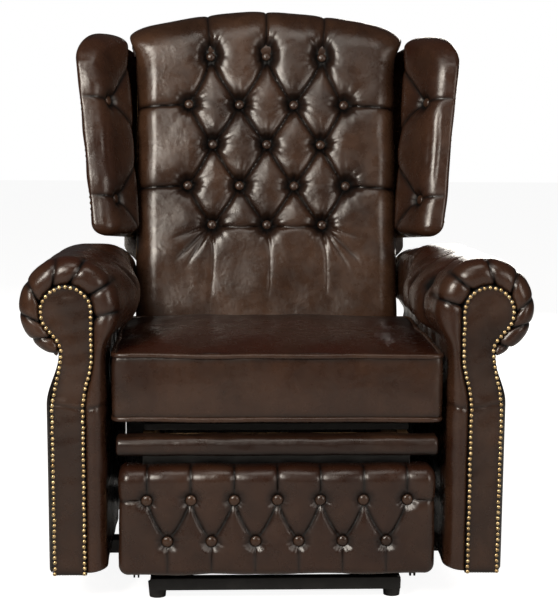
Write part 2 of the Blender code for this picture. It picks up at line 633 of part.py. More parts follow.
def mechanism_sides(steel, seat, swing):
    """The base plates with their tracks, the slides in them, the seat plates and the rear swing links."""
    web = BASE_PLATE_X + PLATE_THICKNESS
    foot_x = web - BASE_PLATE_FOOT
    floor = ARM_FRAME_BOTTOM
    base_outline = [(foot_x, floor), (web, floor), (web, TRACK_TOP),
                    (TRACK_X, TRACK_TOP), (TRACK_X, TRACK_TOP - TRACK_WALL),
                    (BASE_PLATE_X, TRACK_TOP - TRACK_WALL), (BASE_PLATE_X, TRACK_BOTTOM + TRACK_WALL),
                    (TRACK_X, TRACK_BOTTOM + TRACK_WALL), (TRACK_X, TRACK_BOTTOM),
                    (BASE_PLATE_X, TRACK_BOTTOM),
                    (BASE_PLATE_X, floor + PLATE_THICKNESS), (foot_x, floor + PLATE_THICKNESS)]
    bar_low = TRACK_BOTTOM + TRACK_WALL + TRACK_CLEARANCE
    bar_high = TRACK_TOP - TRACK_WALL - TRACK_CLEARANCE
    bar_outer = BASE_PLATE_X - TRACK_CLEARANCE
    stem_high = TRACK_X - TRACK_CLEARANCE - 0.001
    stem_low = stem_high - 0.003
    shelf = RAIL_BOTTOM - GAP
    shelf_x = SWING_X - LAYER_GAP
    slide_outline = [(stem_low, bar_low), (bar_outer, bar_low), (bar_outer, bar_high), (stem_high, bar_high),
                     (stem_high, shelf - PLATE_THICKNESS), (shelf_x, shelf - PLATE_THICKNESS),
                     (shelf_x, shelf), (stem_low, shelf)]
    plate_outline = seat_plate_outline()
    for side, sign in SIDES:
        base = prism(f"base_plate_{side}", mirrored(base_outline, sign), "front", *BASE_PLATE_Y, steel)
        drill_and_pin(base, sign, [], [(SWING_PIVOT, PIN_RADIUS, BASE_PLATE_X + SUNK,
                                        SWING_X + LINK_THICKNESS)], None)
        outer = SEAT_PLATE_OUTER_X
        plate = prism(f"seat_plate_{side}", plate_outline, "side", *across(sign, SEAT_PLATE_X, outer),
                      steel, seat)
        slide = prism(f"seat_slide_{side}", mirrored(slide_outline, sign), "front", *SLIDE_Y, None, seat)
        flange = box(f"seat_flange_{side}", across(sign, shelf_x - PLATE_THICKNESS, outer - SUNK),
                     (SLIDE_Y[0], SLIDE_FLANGE_REAR_Y), (shelf - PLATE_THICKNESS, shelf), None, seat)
        combine(slide, flange, "UNION")
        combine(plate, slide, "UNION")
        drill_and_pin(plate, sign, [(LINK_PIVOT, TUBE_HOLE_RADIUS)],
                      [(GUIDE_PIVOT, PIN_RADIUS, outer - SUNK, GUIDE_X + LINK_THICKNESS),
                       (HINGE, HINGE_PIN_RADIUS, outer - SUNK, BACK_BRACKET_X + PLATE_THICKNESS)], seat)
        link(f"swing_link_{side}", sign, SWING_X, (SWING_PIVOT, SWING_TOP), steel, swing,
             holes=[(SWING_PIVOT, HOLE_RADIUS)],
             pins=[(SWING_TOP, PIN_RADIUS, SWING_X + SUNK, BACK_BRACKET_X - 0.0008)])


# ---------------------------------------------------------------- back and wings, upright around the hinge
def arch(x):
    """How far the back's top rises above its corners at this x."""
    return BACK_ARCH * (1 - (x / BACK_HALF_WIDTH) ** 2)


def back_pad_section(x):
    """One section of the inside back: it rolls over the top rail to the rear."""
    top = BACK_PAD_CORNER + arch(x)
    rear = STILE_DEPTH - 0.002
    shoulder = 0.4 * -BACK_FRONT
    heel = min(0.030, rear / 2)
    outline = [(-GAP * 5, BACK_PAD_BOTTOM), (-GAP * 5, FRAME_TOP + GAP * 5), (rear, FRAME_TOP + GAP * 5)]
    outline += [tuple(p) for p in arc((rear - heel, top - heel), heel, 0, 90, 4)]
    outline += [tuple(p) for p in arc((BACK_FRONT + shoulder, top - shoulder), shoulder, 90, 180, 5)]
    outline += [(BACK_FRONT, BACK_PAD_BOTTOM)]
    return [(x, y, z) for y, z in outline]


def back_frame(wood, back):
    for side, sign in SIDES:
        box(f"back_stile_{side}", across(sign, STILE_X, STILE_OUTER_X), (0, STILE_DEPTH),
            (STILE_BOTTOM, FRAME_TOP), wood, back, edge=0.002)
    between = (-STILE_X + GAP, STILE_X - GAP)
    box("back_rail_top", between, (0, STILE_DEPTH), (FRAME_TOP - BACK_RAIL_HEIGHT, FRAME_TOP),
        wood, back, edge=0.002)
    between = (-SEAT_PLATE_X + LAYER_GAP, SEAT_PLATE_X - LAYER_GAP)
    low = BACK_PAD_BOTTOM - 0.005 - BACK_RAIL_HEIGHT
    box("back_rail_bottom", between, (0, STILE_DEPTH), (low, low + BACK_RAIL_HEIGHT), wood, back, edge=0.002)


def back_covers(leather, back):
    xs = [BACK_HALF_WIDTH * (2 * i / BACK_PAD_SIDES - 1) for i in range(BACK_PAD_SIDES + 1)]
    loft("back_cushion", [back_pad_section(x) for x in xs], leather, back)
    narrow = STILE_OUTER_X
    outline = [(-narrow, OUTSIDE_BACK_BOTTOM), (narrow, OUTSIDE_BACK_BOTTOM), (narrow, OUTSIDE_BACK_WAIST),
               (WING_REAR_X, OUTSIDE_BACK_WAIST)]
    tops = [WING_REAR_X * (1 - 2 * i / 10) for i in range(11)]
    outline += [(x, OUTSIDE_BACK_CORNER + arch(x * BACK_HALF_WIDTH / WING_REAR_X)) for x in tops]
    outline += [(-WING_REAR_X, OUTSIDE_BACK_WAIST), (-narrow, OUTSIDE_BACK_WAIST)]
    prism("outside_back", outline, "front", STILE_DEPTH + GAP, STILE_DEPTH + GAP + OUTSIDE_BACK_THICKNESS,
          leather, back)


def wing_face(y, z):
    """The x of a wing's outer face at a side point of the upright back."""
    forward = (WING_REAR - y) / (WING_REAR - WING_FRONT)
    height = (z - WING_BOTTOM_FRONT) / (WING_TOP - WING_BOTTOM_FRONT)
    return WING_REAR_X + forward * (WING_FLARE_BOTTOM + height * (WING_FLARE_TOP - WING_FLARE_BOTTOM))


def wing_row(share, rear):
    """A wing's front and rear points at this share of its height: its top front corner is rounded."""
    slope = (WING_BOTTOM_REAR - WING_BOTTOM_FRONT) / (WING_REAR - WING_FRONT)
    below_corner = max(0.0, share - 1 + WING_CORNER / (WING_TOP - WING_BOTTOM_FRONT))
    drop = below_corner * (WING_TOP - WING_BOTTOM_FRONT) / WING_CORNER
    front = WING_FRONT + WING_CORNER * (1 - math.sqrt(max(0.0, 1 - drop * drop)))
    points = []
    for y in (front, rear):
        foot = WING_BOTTOM_FRONT + slope * (y - WING_FRONT)
        points.append((y, foot + share * (WING_TOP - foot)))
    return points


def wing_slab(name, sign, column, near, far, finish, back):
    """A slab that follows the wing's flare between two depths under its outer face.

    Its middle column lies at the rear edge of the padding, so that frame and padding share their faces.
    """
    corner = WING_CORNER / (WING_TOP - WING_BOTTOM_FRONT)
    shares = [0, 0.3, 0.6] + [1 - corner * (1 - math.sin(math.radians(18 * i))) for i in range(6)]
    sections = []
    for share in shares:
        front, rear = wing_row(share, WING_PAD_REAR)
        points = [front, rear]
        if column > WING_PAD_REAR:
            points.append(wing_row(share, column)[1])
        outer = [(sign * (wing_face(y, z) - near), y, z) for y, z in points]
        inner = [(sign * (wing_face(y, z) - far), y, z) for y, z in points]
        sections.append(outer + inner[::-1])
    return loft(name, sections, finish, back)


def wings(wood, leather, back):
    for side, sign in SIDES:
        wing_slab(f"wing_frame_{side}", sign, WING_REAR, 0, WING_FRAME_THICKNESS, wood, back)
        near = WING_FRAME_THICKNESS + GAP * 2
        wing_slab(f"wing_pad_{side}", sign, WING_PAD_REAR, near, near + WING_PAD_THICKNESS, leather, back)


def back_brackets(steel, back):
    arm = SWING_ARM * Vector((math.sin(BACK_TILT), -math.cos(BACK_TILT)))
    for side, sign in SIDES:
        heel, top = Vector((0.024, 0.050)), Vector((0.026, 0.170))
        link(f"back_bracket_{side}", sign, BACK_BRACKET_X, (arm, Vector((0, 0)), heel, top),
             steel, back, holes=[((0, 0), HINGE_HOLE_RADIUS)], half_width=0.014, thickness=PLATE_THICKNESS)


# ---------------------------------------------------------------- footrest
def footrest_links(steel, joints):
    for side, sign in SIDES:
        link(f"drive_link_{side}", sign, DRIVE_X, (Vector(LINK_PIVOT), CLOSED["knee"], CLOSED["knee_arm"]),
             steel, joints["drive"],
             pins=[(CLOSED["knee"], PIN_RADIUS, DRIVE_X + SUNK, LONG_X + LINK_THICKNESS),
                   (CLOSED["knee_arm"], PIN_RADIUS, DRIVE_X + SUNK, SHORT_X + LINK_THICKNESS)])
        link(f"guide_link_{side}", sign, GUIDE_X, (GUIDE_PIVOT, CLOSED["tail"]), steel, joints["guide"],
             holes=[(GUIDE_PIVOT, HOLE_RADIUS)])
        link(f"long_link_{side}", sign, LONG_X, (CLOSED["tail"], CLOSED["foot"]), steel, joints["long"],
             holes=[(CLOSED["knee"], HOLE_RADIUS)],
             pins=[(CLOSED["foot"], PIN_RADIUS, LONG_X + SUNK, BRACKET_X + LINK_THICKNESS),
                   (CLOSED["tail"], PIN_RADIUS, GUIDE_X + LINK_THICKNESS + 0.0006, LONG_X + SUNK)])
        link(f"short_link_{side}", sign, SHORT_X, (CLOSED["knee_arm"], CLOSED["foot_arm"]),
             steel, joints["short"], holes=[(CLOSED["knee_arm"], HOLE_RADIUS)],
             pins=[(CLOSED["foot_arm"], PIN_RADIUS, SHORT_X + SUNK, BRACKET_X + LINK_THICKNESS)])
    reach = DRIVE_X - GAP
    rod("torque_tube", (-reach, reach), LINK_PIVOT, TUBE_RADIUS, steel, joints["drive"])


def footrest(wood, leather, steel, rest):
    foot, arm = CLOSED["foot"], CLOSED["foot_arm"]
    board_face = BOARD_BACK_Y + GAP
    low = arm.y - 0.090
    outline = [(foot.x + 0.011, foot.y - 0.004), (foot.x + 0.009, foot.y + 0.009),
               (foot.x - 0.004, foot.y + 0.011), (board_face, BOARD_Z[1] - 0.006), (board_face, low),
               (board_face + 0.016, low), (arm.x + 0.012, arm.y - 0.010)]
    for side, sign in SIDES:
        bracket = prism(f"footrest_bracket_{side}", outline, "side",
                        *across(sign, BRACKET_X, BRACKET_X + LINK_THICKNESS), steel, rest)
        flange = box(f"footrest_flange_{side}", across(sign, BRACKET_X, BRACKET_X + FLANGE_WIDTH),
                     (board_face, board_face + LINK_THICKNESS), (low, BOARD_Z[1] - 0.006), None, rest)
        combine(bracket, flange, "UNION")
        drill_and_pin(bracket, sign, [(foot, HOLE_RADIUS), (arm, HOLE_RADIUS)], [], rest)
    board_front = BOARD_BACK_Y - BOARD_THICKNESS
    board_x = FOOTREST_HALF_WIDTH - BOARD_INSET
    box("footrest_board", (-board_x, board_x), (board_front, BOARD_BACK_Y), BOARD_Z,
        wood, rest, edge=0.001)
    box("footrest_pad", (-FOOTREST_HALF_WIDTH, FOOTREST_HALF_WIDTH), (FRONT_Y, board_front - GAP), FOOTREST_Z,
        leather, rest, edge=0.020)


# ---------------------------------------------------------------- the chair
def main():
    clear_scene()
    wood = material("beech", (0.55, 0.38, 0.22), 0.6)
    leather = material("antique_brown_leather", (0.085, 0.040, 0.026), 0.32)
    cloth = material("black_platform_cloth", (0.02, 0.02, 0.02), 0.9)
    steel = material("black_steel", (0.04, 0.04, 0.045), 0.45, 0.8)
    black = material("black_plastic", (0.02, 0.02, 0.02), 0.5)
    brass = material("antique_brass", (0.55, 0.40, 0.16), 0.3, 1.0)

    seat = pivot("seat_joint", (0, 0))
    back = pivot("back_joint", HINGE, tilt=BACK_TILT)
    swing = pivot("swing_joint", SWING_PIVOT)
    joints = {"drive": pivot("drive_joint", LINK_PIVOT), "guide": pivot("guide_joint", GUIDE_PIVOT),
              "long": pivot("long_joint", CLOSED["knee"]), "short": pivot("short_joint", CLOSED["knee_arm"])}
    rest = pivot("footrest_joint", CLOSED["foot"])

    floor_frame(steel, black)
    rear_apron(leather)
    arms(wood, leather, brass)
    seat_frame(wood, seat)
    seat_springs(steel, seat)
    seat_soft(leather, cloth, seat)
    mechanism_sides(steel, seat, swing)
    back_frame(wood, back)
    back_covers(leather, back)
    wings(wood, leather, back)
    back_brackets(steel, back)
    footrest_links(steel, joints)
    footrest(wood, leather, steel, rest)


main()
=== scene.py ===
"""The looks of a deep-buttoned wing recliner in antique brown leather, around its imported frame.

Sizes are in metres. Pieces of the back are made in the back's own upright frame, with its hinge as
the origin, and are then turned into place.
"""
import cmath
import json
import math

import bmesh
import bpy
import numpy as np
from mathutils import Matrix, Vector
from mathutils.bvhtree import BVHTree

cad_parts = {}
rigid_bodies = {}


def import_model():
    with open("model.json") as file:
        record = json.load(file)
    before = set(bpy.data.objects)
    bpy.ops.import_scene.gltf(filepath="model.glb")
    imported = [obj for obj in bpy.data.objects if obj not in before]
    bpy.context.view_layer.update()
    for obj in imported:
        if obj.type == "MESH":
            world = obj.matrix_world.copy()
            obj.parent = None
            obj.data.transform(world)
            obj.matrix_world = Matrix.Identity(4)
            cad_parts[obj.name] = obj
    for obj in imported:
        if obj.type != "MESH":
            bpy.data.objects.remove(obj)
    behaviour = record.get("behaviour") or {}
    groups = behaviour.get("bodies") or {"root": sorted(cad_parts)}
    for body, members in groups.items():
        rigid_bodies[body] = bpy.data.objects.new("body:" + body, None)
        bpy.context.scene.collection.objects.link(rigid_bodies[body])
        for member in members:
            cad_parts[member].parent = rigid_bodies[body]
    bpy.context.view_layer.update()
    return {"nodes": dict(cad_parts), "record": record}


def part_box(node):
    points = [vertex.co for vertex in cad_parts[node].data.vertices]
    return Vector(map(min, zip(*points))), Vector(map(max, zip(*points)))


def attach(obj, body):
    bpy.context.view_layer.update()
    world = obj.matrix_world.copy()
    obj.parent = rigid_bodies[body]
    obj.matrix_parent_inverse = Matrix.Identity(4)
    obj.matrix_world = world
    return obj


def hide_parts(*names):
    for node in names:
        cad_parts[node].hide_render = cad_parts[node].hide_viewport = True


SIDES = (("left", 1), ("right", -1))
LEATHER = "antique_brown_leather"
BRASS = "antique_brass"

# The back, in its own frame: x across, y backwards, z up from its hinge
BACK_TILT = math.radians(13)
BACK_HALF_WIDTH = 0.285
BACK_FRONT = -0.125
BACK_LOW = 0.050
BACK_TOP = 0.765            # at its sides
BACK_ARCH = 0.045
BACK_SIDE_RADIUS = 0.046
BACK_TOP_RADIUS = 0.058
BACK_TOP_REAR = 0.047
BACK_TOP_SPREAD = 0.055     # the top roll is this much wider than the rest
# The last column of CORNER_FOLDS is the strength of the painted shade along each fold.
CORNER_FOLDS = ((0.085, 0.085, 0.0050, 0.028, 0.4), (0.060, 0.100, 0.0036, 0.020, 0.3),
                (0.095, 0.035, 0.0034, 0.024, 0.2))     # aside, down, depth, reach, darkness
BACK_ROWS = ((0.690, (-0.122, 0.0, 0.122)), (0.593, (-0.169, -0.059, 0.059, 0.169)),
             (0.505, (-0.118, 0.0, 0.118)), (0.414, (-0.171, -0.059, 0.059, 0.171)),
             (0.327, (-0.119, 0.0, 0.119)))

# The wings, in the same frame
WING_FRONT = -0.235
WING_REAR = 0.050
WING_HALF_THICKNESS = 0.0257
WING_REAR_HALF = 0.0035     # the inner side stands this far from the middle beside the back
WING_SWELL = 0.030          # the padding swells towards the back
WING_OUTER_RADIUS = 0.009
WING_TOP = 0.745
WING_CORNER = (0.140, 0.082)    # the top falls towards the front: over this length, by this much
WING_FOOT_FRONT = 0.285
WING_FOOT_RISE = 0.037
WING_REAR_X = 0.318
WING_FLARE = (0.050, 0.099)
WING_BUTTONS = ((-0.103, 0.695), (-0.200, 0.580), (-0.088, 0.494), (-0.203, 0.370))

# The arms
ARM_INNER_X = 0.313
ARM_ROLL_X = 0.378
ARM_ROLL_Y = (-0.4109, -0.0004, 0.290)
ARM_ROLL_Z = (0.559, 0.550, 0.520)
ARM_ROLL_RADIUS = (0.092, 0.088, 0.080)
ARM_LIP = 0.024
ARM_SWELL = 0.026
ARM_BESIDE_BACK = 0.2895     # the padding's inner side beside the back
ARM_SQUARENESS = 2.2
ARM_LOW = 0.0755
OUTSIDE_FOOT_X = 0.4190
ARM_RIM_START = -0.397      # the roll begins to turn over its front rim here
ARM_RIM_DEPTH = 0.0325
SCROLL = (0.383, 0.553)
SCROLL_RADIUS = 0.045
FACING_FRONT = -0.430
FACING_BACK = -0.4118
FACING_EDGE = 0.004
ARM_BOTTOM = 0.065

# Seat and footrest
SEAT_HALF_WIDTH = 0.306
SEAT_FRONT = -0.435
SEAT_REAR = 0.082
SEAT_LOW = 0.345
SEAT_TOP = 0.490
PIPING_RADIUS = 0.0050
SEAT_CROWN = 0.013
FOOTREST_ROWS = ((0.206, tuple(0.0795 * n for n in range(-3, 4))),
                 (0.128, tuple(0.0805 * (n + 0.5) for n in range(-3, 3))))

BUTTON_RADIUS = 0.0100
BUTTON_HEIGHT = 0.0046
NAIL_RADIUS = 0.0040
NAIL_HEIGHT = 0.0030
NAIL_PITCH = 0.0101
FOLD_POWER = 3.5
FOLD_END = 0.026            # a fold deepens towards its button within about this length
WORLD_LIGHT = 0.05
FLOOR_GLOW = 0.92


# The leather's tones, linear
TONE_DEEP = (0.0070, 0.0029, 0.0018)
TONE_BASE = (0.0260, 0.0112, 0.0064)
TONE_PATCH = (0.0360, 0.0175, 0.0108)
# Taupe of rubbed wear, also used as a painted sheen
TONE_RUB_AND_PAINTED_SHEEN = (0.0600, 0.0290, 0.0160)
TONE_STAIN = (0.0100, 0.0036, 0.0020)
# Red-brown, darker than the base: painted shade on the tops
TONE_RED_PAINTED_SHADE = (0.0280, 0.0070, 0.0034)
TONE_FLECK = (0.0070, 0.0032, 0.0022)
# Near black: painted shade in folds, seams, along edges and in recesses
TONE_PAINTED_SHADE = (0.0010, 0.0007, 0.0006)

# How deep buttons pull each sheet: the pull of one button, and the most that a sheet sinks
BACK_PIT, BACK_DEEPEST = 0.0280, 0.0225
WING_PIT, WING_DEEPEST = 0.0170, 0.0150
ARM_PIT, ARM_DEEPEST = 0.0135, 0.0120
FOOTREST_PIT, FOOTREST_DEEPEST = 0.0125, 0.0110


# ---------------------------------------------------------------- materials
class Nodes:
    """Short names for making and joining the nodes of one material."""

    def __init__(self, name):
        self.material = bpy.data.materials.new(name)
        self.material.use_nodes = True
        self.tree = self.material.node_tree
        self.shader = self.tree.nodes["Principled BSDF"]
        self.place = self.add("ShaderNodeTexCoord").outputs["Object"]

    def add(self, kind, **settings):
        node = self.tree.nodes.new(kind)
        for key, value in settings.items():
            setattr(node, key, value)
        return node

    def join(self, source, target):
        self.tree.links.new(source, target)

    def stretched(self, x, y, z):
        mapping = self.add("ShaderNodeMapping")
        mapping.inputs["Scale"].default_value = (x, y, z)
        self.join(self.place, mapping.inputs["Vector"])
        return mapping.outputs["Vector"]

    def noise(self, scale, detail=3.0, roughness=0.5, place=None, distortion=0.0):
        node = self.add("ShaderNodeTexNoise")
        node.inputs["Scale"].default_value = scale
        node.inputs["Detail"].default_value = detail
        node.inputs["Roughness"].default_value = roughness
        node.inputs["Distortion"].default_value = distortion
        self.join(place or self.place, node.inputs["Vector"])
        return node.outputs["Fac"]

    def cells(self, scale, feature="DISTANCE_TO_EDGE"):
        node = self.add("ShaderNodeTexVoronoi", feature=feature)
        node.inputs["Scale"].default_value = scale
        self.join(self.place, node.inputs["Vector"])
        return node.outputs["Distance"]

    def mark(self, name):
        return self.add("ShaderNodeAttribute", attribute_name=name).outputs["Fac"]

    def ranged(self, value, low, high, to_low=0.0, to_high=1.0):
        node = self.add("ShaderNodeMapRange")
        for key, number in zip(("From Min", "From Max", "To Min", "To Max"), (low, high, to_low, to_high)):
            node.inputs[key].default_value = number
        self.join(value, node.inputs["Value"])
        return node.outputs["Result"]

    def math(self, operation, first, second):
        node = self.add("ShaderNodeMath", operation=operation)
        for socket, value in zip(node.inputs, (first, second)):
            if isinstance(value, (int, float)):
                socket.default_value = value
            else:
                self.join(value, socket)
        return node.outputs["Value"]

    def mixed(self, factor, first, second):
        node = self.add("ShaderNodeMix", data_type="RGBA")
        self.join(factor, node.inputs["Factor"])
        for socket, value in ((node.inputs[6], first), (node.inputs[7], second)):
            if isinstance(value, tuple):
                socket.default_value = (*value, 1)
            else:
                self.join(value, socket)
        return node.outputs[2]

    def bump(self, height, distance, strength=1.0, normal=None):
        node = self.add("ShaderNodeBump")
        node.inputs["Distance"].default_value = distance
        node.inputs["Strength"].default_value = strength
        self.join(height, node.inputs["Height"])
        if normal is not None:
            self.join(normal, node.inputs["Normal"])
        return node.outputs["Normal"]

    def finish(self, colour, roughness, normal=None, **constants):
        self.join(colour, self.shader.inputs["Base Color"])
        self.join(roughness, self.shader.inputs["Roughness"])
        if normal is not None:
            self.join(normal, self.shader.inputs["Normal"])
        for key, value in constants.items():
            self.shader.inputs[key.replace("_", " ")].default_value = value
        return self.material


def leather_finish():
    """Hand-rubbed leather: near black in its folds as painted shade, taupe where it is rubbed and where a
    painted sheen lightens it, red-brown on top with painted shade.
    """
    n = Nodes("rubbed_leather_painted_shade")
    clouds = n.ranged(n.noise(7.0, 4.0, 0.6, distortion=0.4), 0.36, 0.66)
    patches = n.ranged(n.noise(23.0, 3.0, 0.55), 0.40, 0.66)
    flecks = n.ranged(n.noise(120.0, 3.0, 0.7), 0.45, 0.75)
    # Lighter taupe: rubbed wear on proud places, and a painted sheen in some places.
    rub_and_painted_sheen = n.math("MULTIPLY", n.mark("rub_and_painted_sheen"), n.ranged(n.noise(11.0, 4.0, 0.6), 0.30, 0.62, 0.35, 1.0))
    # Red-brown tone, darker than the base: painted shade on the tops of the pieces.
    red_tone_painted_shade = n.math("MULTIPLY", n.mark("red_tone_painted_shade"), n.ranged(n.noise(9.0, 3.0, 0.6), 0.30, 0.60, 0.45, 1.0))
    colour = n.mixed(clouds, TONE_DEEP, TONE_BASE)
    colour = n.mixed(n.math("MULTIPLY", patches, 0.40), colour, TONE_PATCH)
    colour = n.mixed(rub_and_painted_sheen, colour, TONE_RUB_AND_PAINTED_SHEEN)
    stain = n.ranged(n.noise(4.5, 5.0, 0.65, distortion=0.8), 0.42, 0.62, 0.0, 0.55)
    colour = n.mixed(stain, colour, TONE_STAIN)
    colour = n.mixed(red_tone_painted_shade, colour, TONE_RED_PAINTED_SHADE)
    colour = n.mixed(n.math("MULTIPLY", flecks, 0.18), colour, TONE_FLECK)
    # Painted shade: near black in folds, seams, along edges and in recesses.
    colour = n.mixed(n.ranged(n.mark("painted_shade"), 0.03, 0.75), colour, TONE_PAINTED_SHADE)
    gloss = n.ranged(n.noise(34.0, 4.0, 0.6), 0.3, 0.7, 0.21, 0.36)
    roughness = n.math("ADD", gloss, n.math("MULTIPLY", n.mark("painted_shade"), 0.15))
    slack = n.bump(n.noise(13.0, 3.0, 0.5, distortion=0.5), 0.0070, 0.40)
    wrinkles = n.bump(n.noise(46.0, 5.0, 0.62, distortion=1.2), 0.0016, 0.28, slack)
    pores = n.bump(n.cells(620.0), 0.00030, 0.35, wrinkles)
    return n.finish(colour, roughness, pores, Coat_Weight=0.12, Coat_Roughness=0.20, Specular_IOR_Level=0.42)


def brass_finish():
    n = Nodes("aged_brass")
    tone = n.noise(60.0, 3.0)
    colour = n.mixed(n.ranged(tone, 0.4, 0.7), (0.66, 0.50, 0.27), (0.36, 0.24, 0.11))
    roughness = n.ranged(n.noise(400.0, 2.0), 0.3, 0.7, 0.22, 0.40)
    normal = n.bump(n.noise(900.0, 2.0), 0.0002, 0.3)
    return n.finish(colour, roughness, normal, Metallic=1.0)


def beech_finish():
    n = Nodes("plain_beech")
    grain = n.noise(30.0, 6.0, 0.65, place=n.stretched(1.0, 1.0, 0.12), distortion=1.5)
    rays = n.noise(260.0, 2.0, place=n.stretched(1.0, 1.0, 0.10))
    colour = n.mixed(n.ranged(grain, 0.35, 0.68), (0.56, 0.36, 0.20), (0.40, 0.23, 0.11))
    colour = n.mixed(n.math("MULTIPLY", n.ranged(rays, 0.5, 0.8), 0.35), colour, (0.25, 0.13, 0.06))
    return n.finish(colour, n.ranged(grain, 0.3, 0.7, 0.48, 0.66), n.bump(rays, 0.0004, 0.35))


def steel_finish():
    n = Nodes("black_painted_steel")
    wear = n.ranged(n.noise(40.0, 5.0, 0.6), 0.45, 0.75)
    colour = n.mixed(wear, (0.006, 0.006, 0.0065), (0.014, 0.0135, 0.0135))
    roughness = n.ranged(n.noise(180.0, 3.0), 0.3, 0.7, 0.36, 0.52)
    return n.finish(colour, roughness, n.bump(n.noise(700.0, 2.0), 0.0002, 0.4), Specular_IOR_Level=0.35)


def plastic_finish():
    n = Nodes("moulded_black_plastic")
    colour = n.mixed(n.noise(55.0, 3.0), (0.010, 0.010, 0.010), (0.022, 0.021, 0.020))
    roughness = n.ranged(n.noise(240.0, 2.0), 0.3, 0.7, 0.42, 0.58)
    return n.finish(colour, roughness, n.bump(n.cells(900.0), 0.0002, 0.3))


def cloth_finish():
    """Woven black platform cloth: two crossed sets of threads."""
    n = Nodes("platform_cloth_weave")
    threads = []
    for direction in ("X", "Y"):
        wave = n.add("ShaderNodeTexWave", wave_type="BANDS", bands_direction=direction)
        wave.inputs["Scale"].default_value = 320.0
        wave.inputs["Distortion"].default_value = 0.6
        n.join(n.place, wave.inputs["Vector"])
        threads.append(wave.outputs["Fac"])
    weave = n.math("MAXIMUM", *threads)
    colour = n.mixed(weave, (0.006, 0.006, 0.006), (0.030, 0.028, 0.027))
    return n.finish(colour, n.ranged(weave, 0, 1, 0.95, 0.80), n.bump(weave, 0.0004, 0.6))


def floor_finish():
    n = Nodes("studio_floor")
    colour = n.mixed(n.noise(3.0, 2.0), (0.52, 0.52, 0.52), (0.55, 0.55, 0.55))
    n.join(n.ranged(n.add("ShaderNodeLightPath").outputs["Is Camera Ray"], 0, 1, 0.0, FLOOR_GLOW),
           n.shader.inputs["Emission Strength"])
    return n.finish(colour, n.ranged(n.noise(12.0), 0.3, 0.7, 0.75, 0.85),
                    Emission_Color=(1, 1, 1, 1), Specular_IOR_Level=0.1)


# ---------------------------------------------------------------- curves and grids
def evenly(points, step=None, count=None):
    """The same line with its points at equal steps, and how far along it each one lies."""
    points = np.asarray(points, float)
    run = np.concatenate([[0.0], np.cumsum(np.linalg.norm(np.diff(points, axis=0), axis=1))])
    at = np.linspace(0, run[-1], count or max(2, round(run[-1] / step) + 1))
    return np.stack([np.interp(at, run, column) for column in points.T], axis=1), at


def rounded_path(corners):
    """A dense line through these corners (a, b, radius), each rounded to its radius."""
    dense = [complex(*corners[0][:2])]
    for before, corner, after in zip(corners, corners[1:], corners[2:]):
        here = complex(*corner[:2])
        back = complex(*before[:2]) - here
        ahead = complex(*after[:2]) - here
        back /= abs(back)
        ahead /= abs(ahead)
        half = abs(cmath.phase(ahead / back)) / 2
        centre = here + (back + ahead) / abs(back + ahead) * corner[2] / math.sin(half)
        first = here + back * corner[2] / math.tan(half) - centre
        last = here + ahead * corner[2] / math.tan(half) - centre
        turn = cmath.phase(last / first)
        dense += [centre + first * cmath.exp(1j * turn * share) for share in np.linspace(0, 1, 30)]
    dense.append(complex(*corners[-1][:2]))
    return np.array([(p.real, p.imag) for p in dense])


def arc(centre, radius, start, end, steps):
    """Points of an arc, its angles in degrees."""
    angles = np.radians(np.linspace(start, end, steps + 1))
    return np.stack([centre[0] + radius * np.cos(angles), centre[1] + radius * np.sin(angles)], axis=1)


def bezier(start, handle, far_handle, end, steps=16):
    t = np.linspace(0, 1, steps + 1)[:, None]
    start, handle, far_handle, end = (np.asarray(p, float) for p in (start, handle, far_handle, end))
    return ((1 - t) ** 3 * start + 3 * t * (1 - t) ** 2 * handle
            + 3 * t ** 2 * (1 - t) * far_handle + t ** 3 * end)


def eased(start, end, steps=12):
    """A soft S between two points, upright at both ends."""
    t = np.linspace(0, 1, steps + 1)
    ease = t * t * (3 - 2 * t)
    return np.stack([start[0] + (end[0] - start[0]) * ease, start[1] + (end[1] - start[1]) * t], axis=1)


def smooth(value, low, high):
    share = np.clip((np.asarray(value, float) - low) / (high - low), 0, 1)
    return share * share * (3 - 2 * share)


def unit(vectors):
    return vectors / np.maximum(np.linalg.norm(vectors, axis=-1, keepdims=True), 1e-12)


def line_normals(line):
    """The normal to the left of a line of 2-D points."""
    ahead = unit(np.gradient(line, axis=0))
    return np.stack([-ahead[:, 1], ahead[:, 0]], axis=1)


def moved_aside(line, distance):
    """The line moved to its right by this distance."""
    return line - line_normals(line) * distance


def grid_faces(rows, columns, wrap=False):
    index = np.arange(rows * columns).reshape(rows, columns)
    if wrap:
        index = np.hstack([index, index[:, :1]])
    corners = (index[:-1, :-1], index[:-1, 1:], index[1:, 1:], index[1:, :-1])
    return np.stack(corners, axis=-1).reshape(-1, 4).tolist()


def grid_normals(grid):
    rows = np.gradient(grid, axis=0)
    columns = np.gradient(grid, axis=1)
    return unit(np.cross(columns, rows))


def rim(rows, columns):
    """The outer points of a grid, in order around it."""
    index = np.arange(rows * columns).reshape(rows, columns)
    return np.concatenate([index[0, :-1], index[:-1, -1], index[-1, :0:-1], index[:0:-1, 0]])


def ripple(first, second, seed, wavelength, height, count=9):
    """Gentle unevenness over a sheet, from crossed waves of about this wavelength."""
    chance = np.random.default_rng(seed)
    total = np.zeros_like(first)
    for _ in range(count):
        angle = chance.uniform(0, math.tau)
        length = wavelength * chance.uniform(0.6, 1.6)
        phase = chance.uniform(0, math.tau)
        total += np.sin(math.tau * (first * math.cos(angle) + second * math.sin(angle)) / length + phase)
    return total * height / math.sqrt(count)


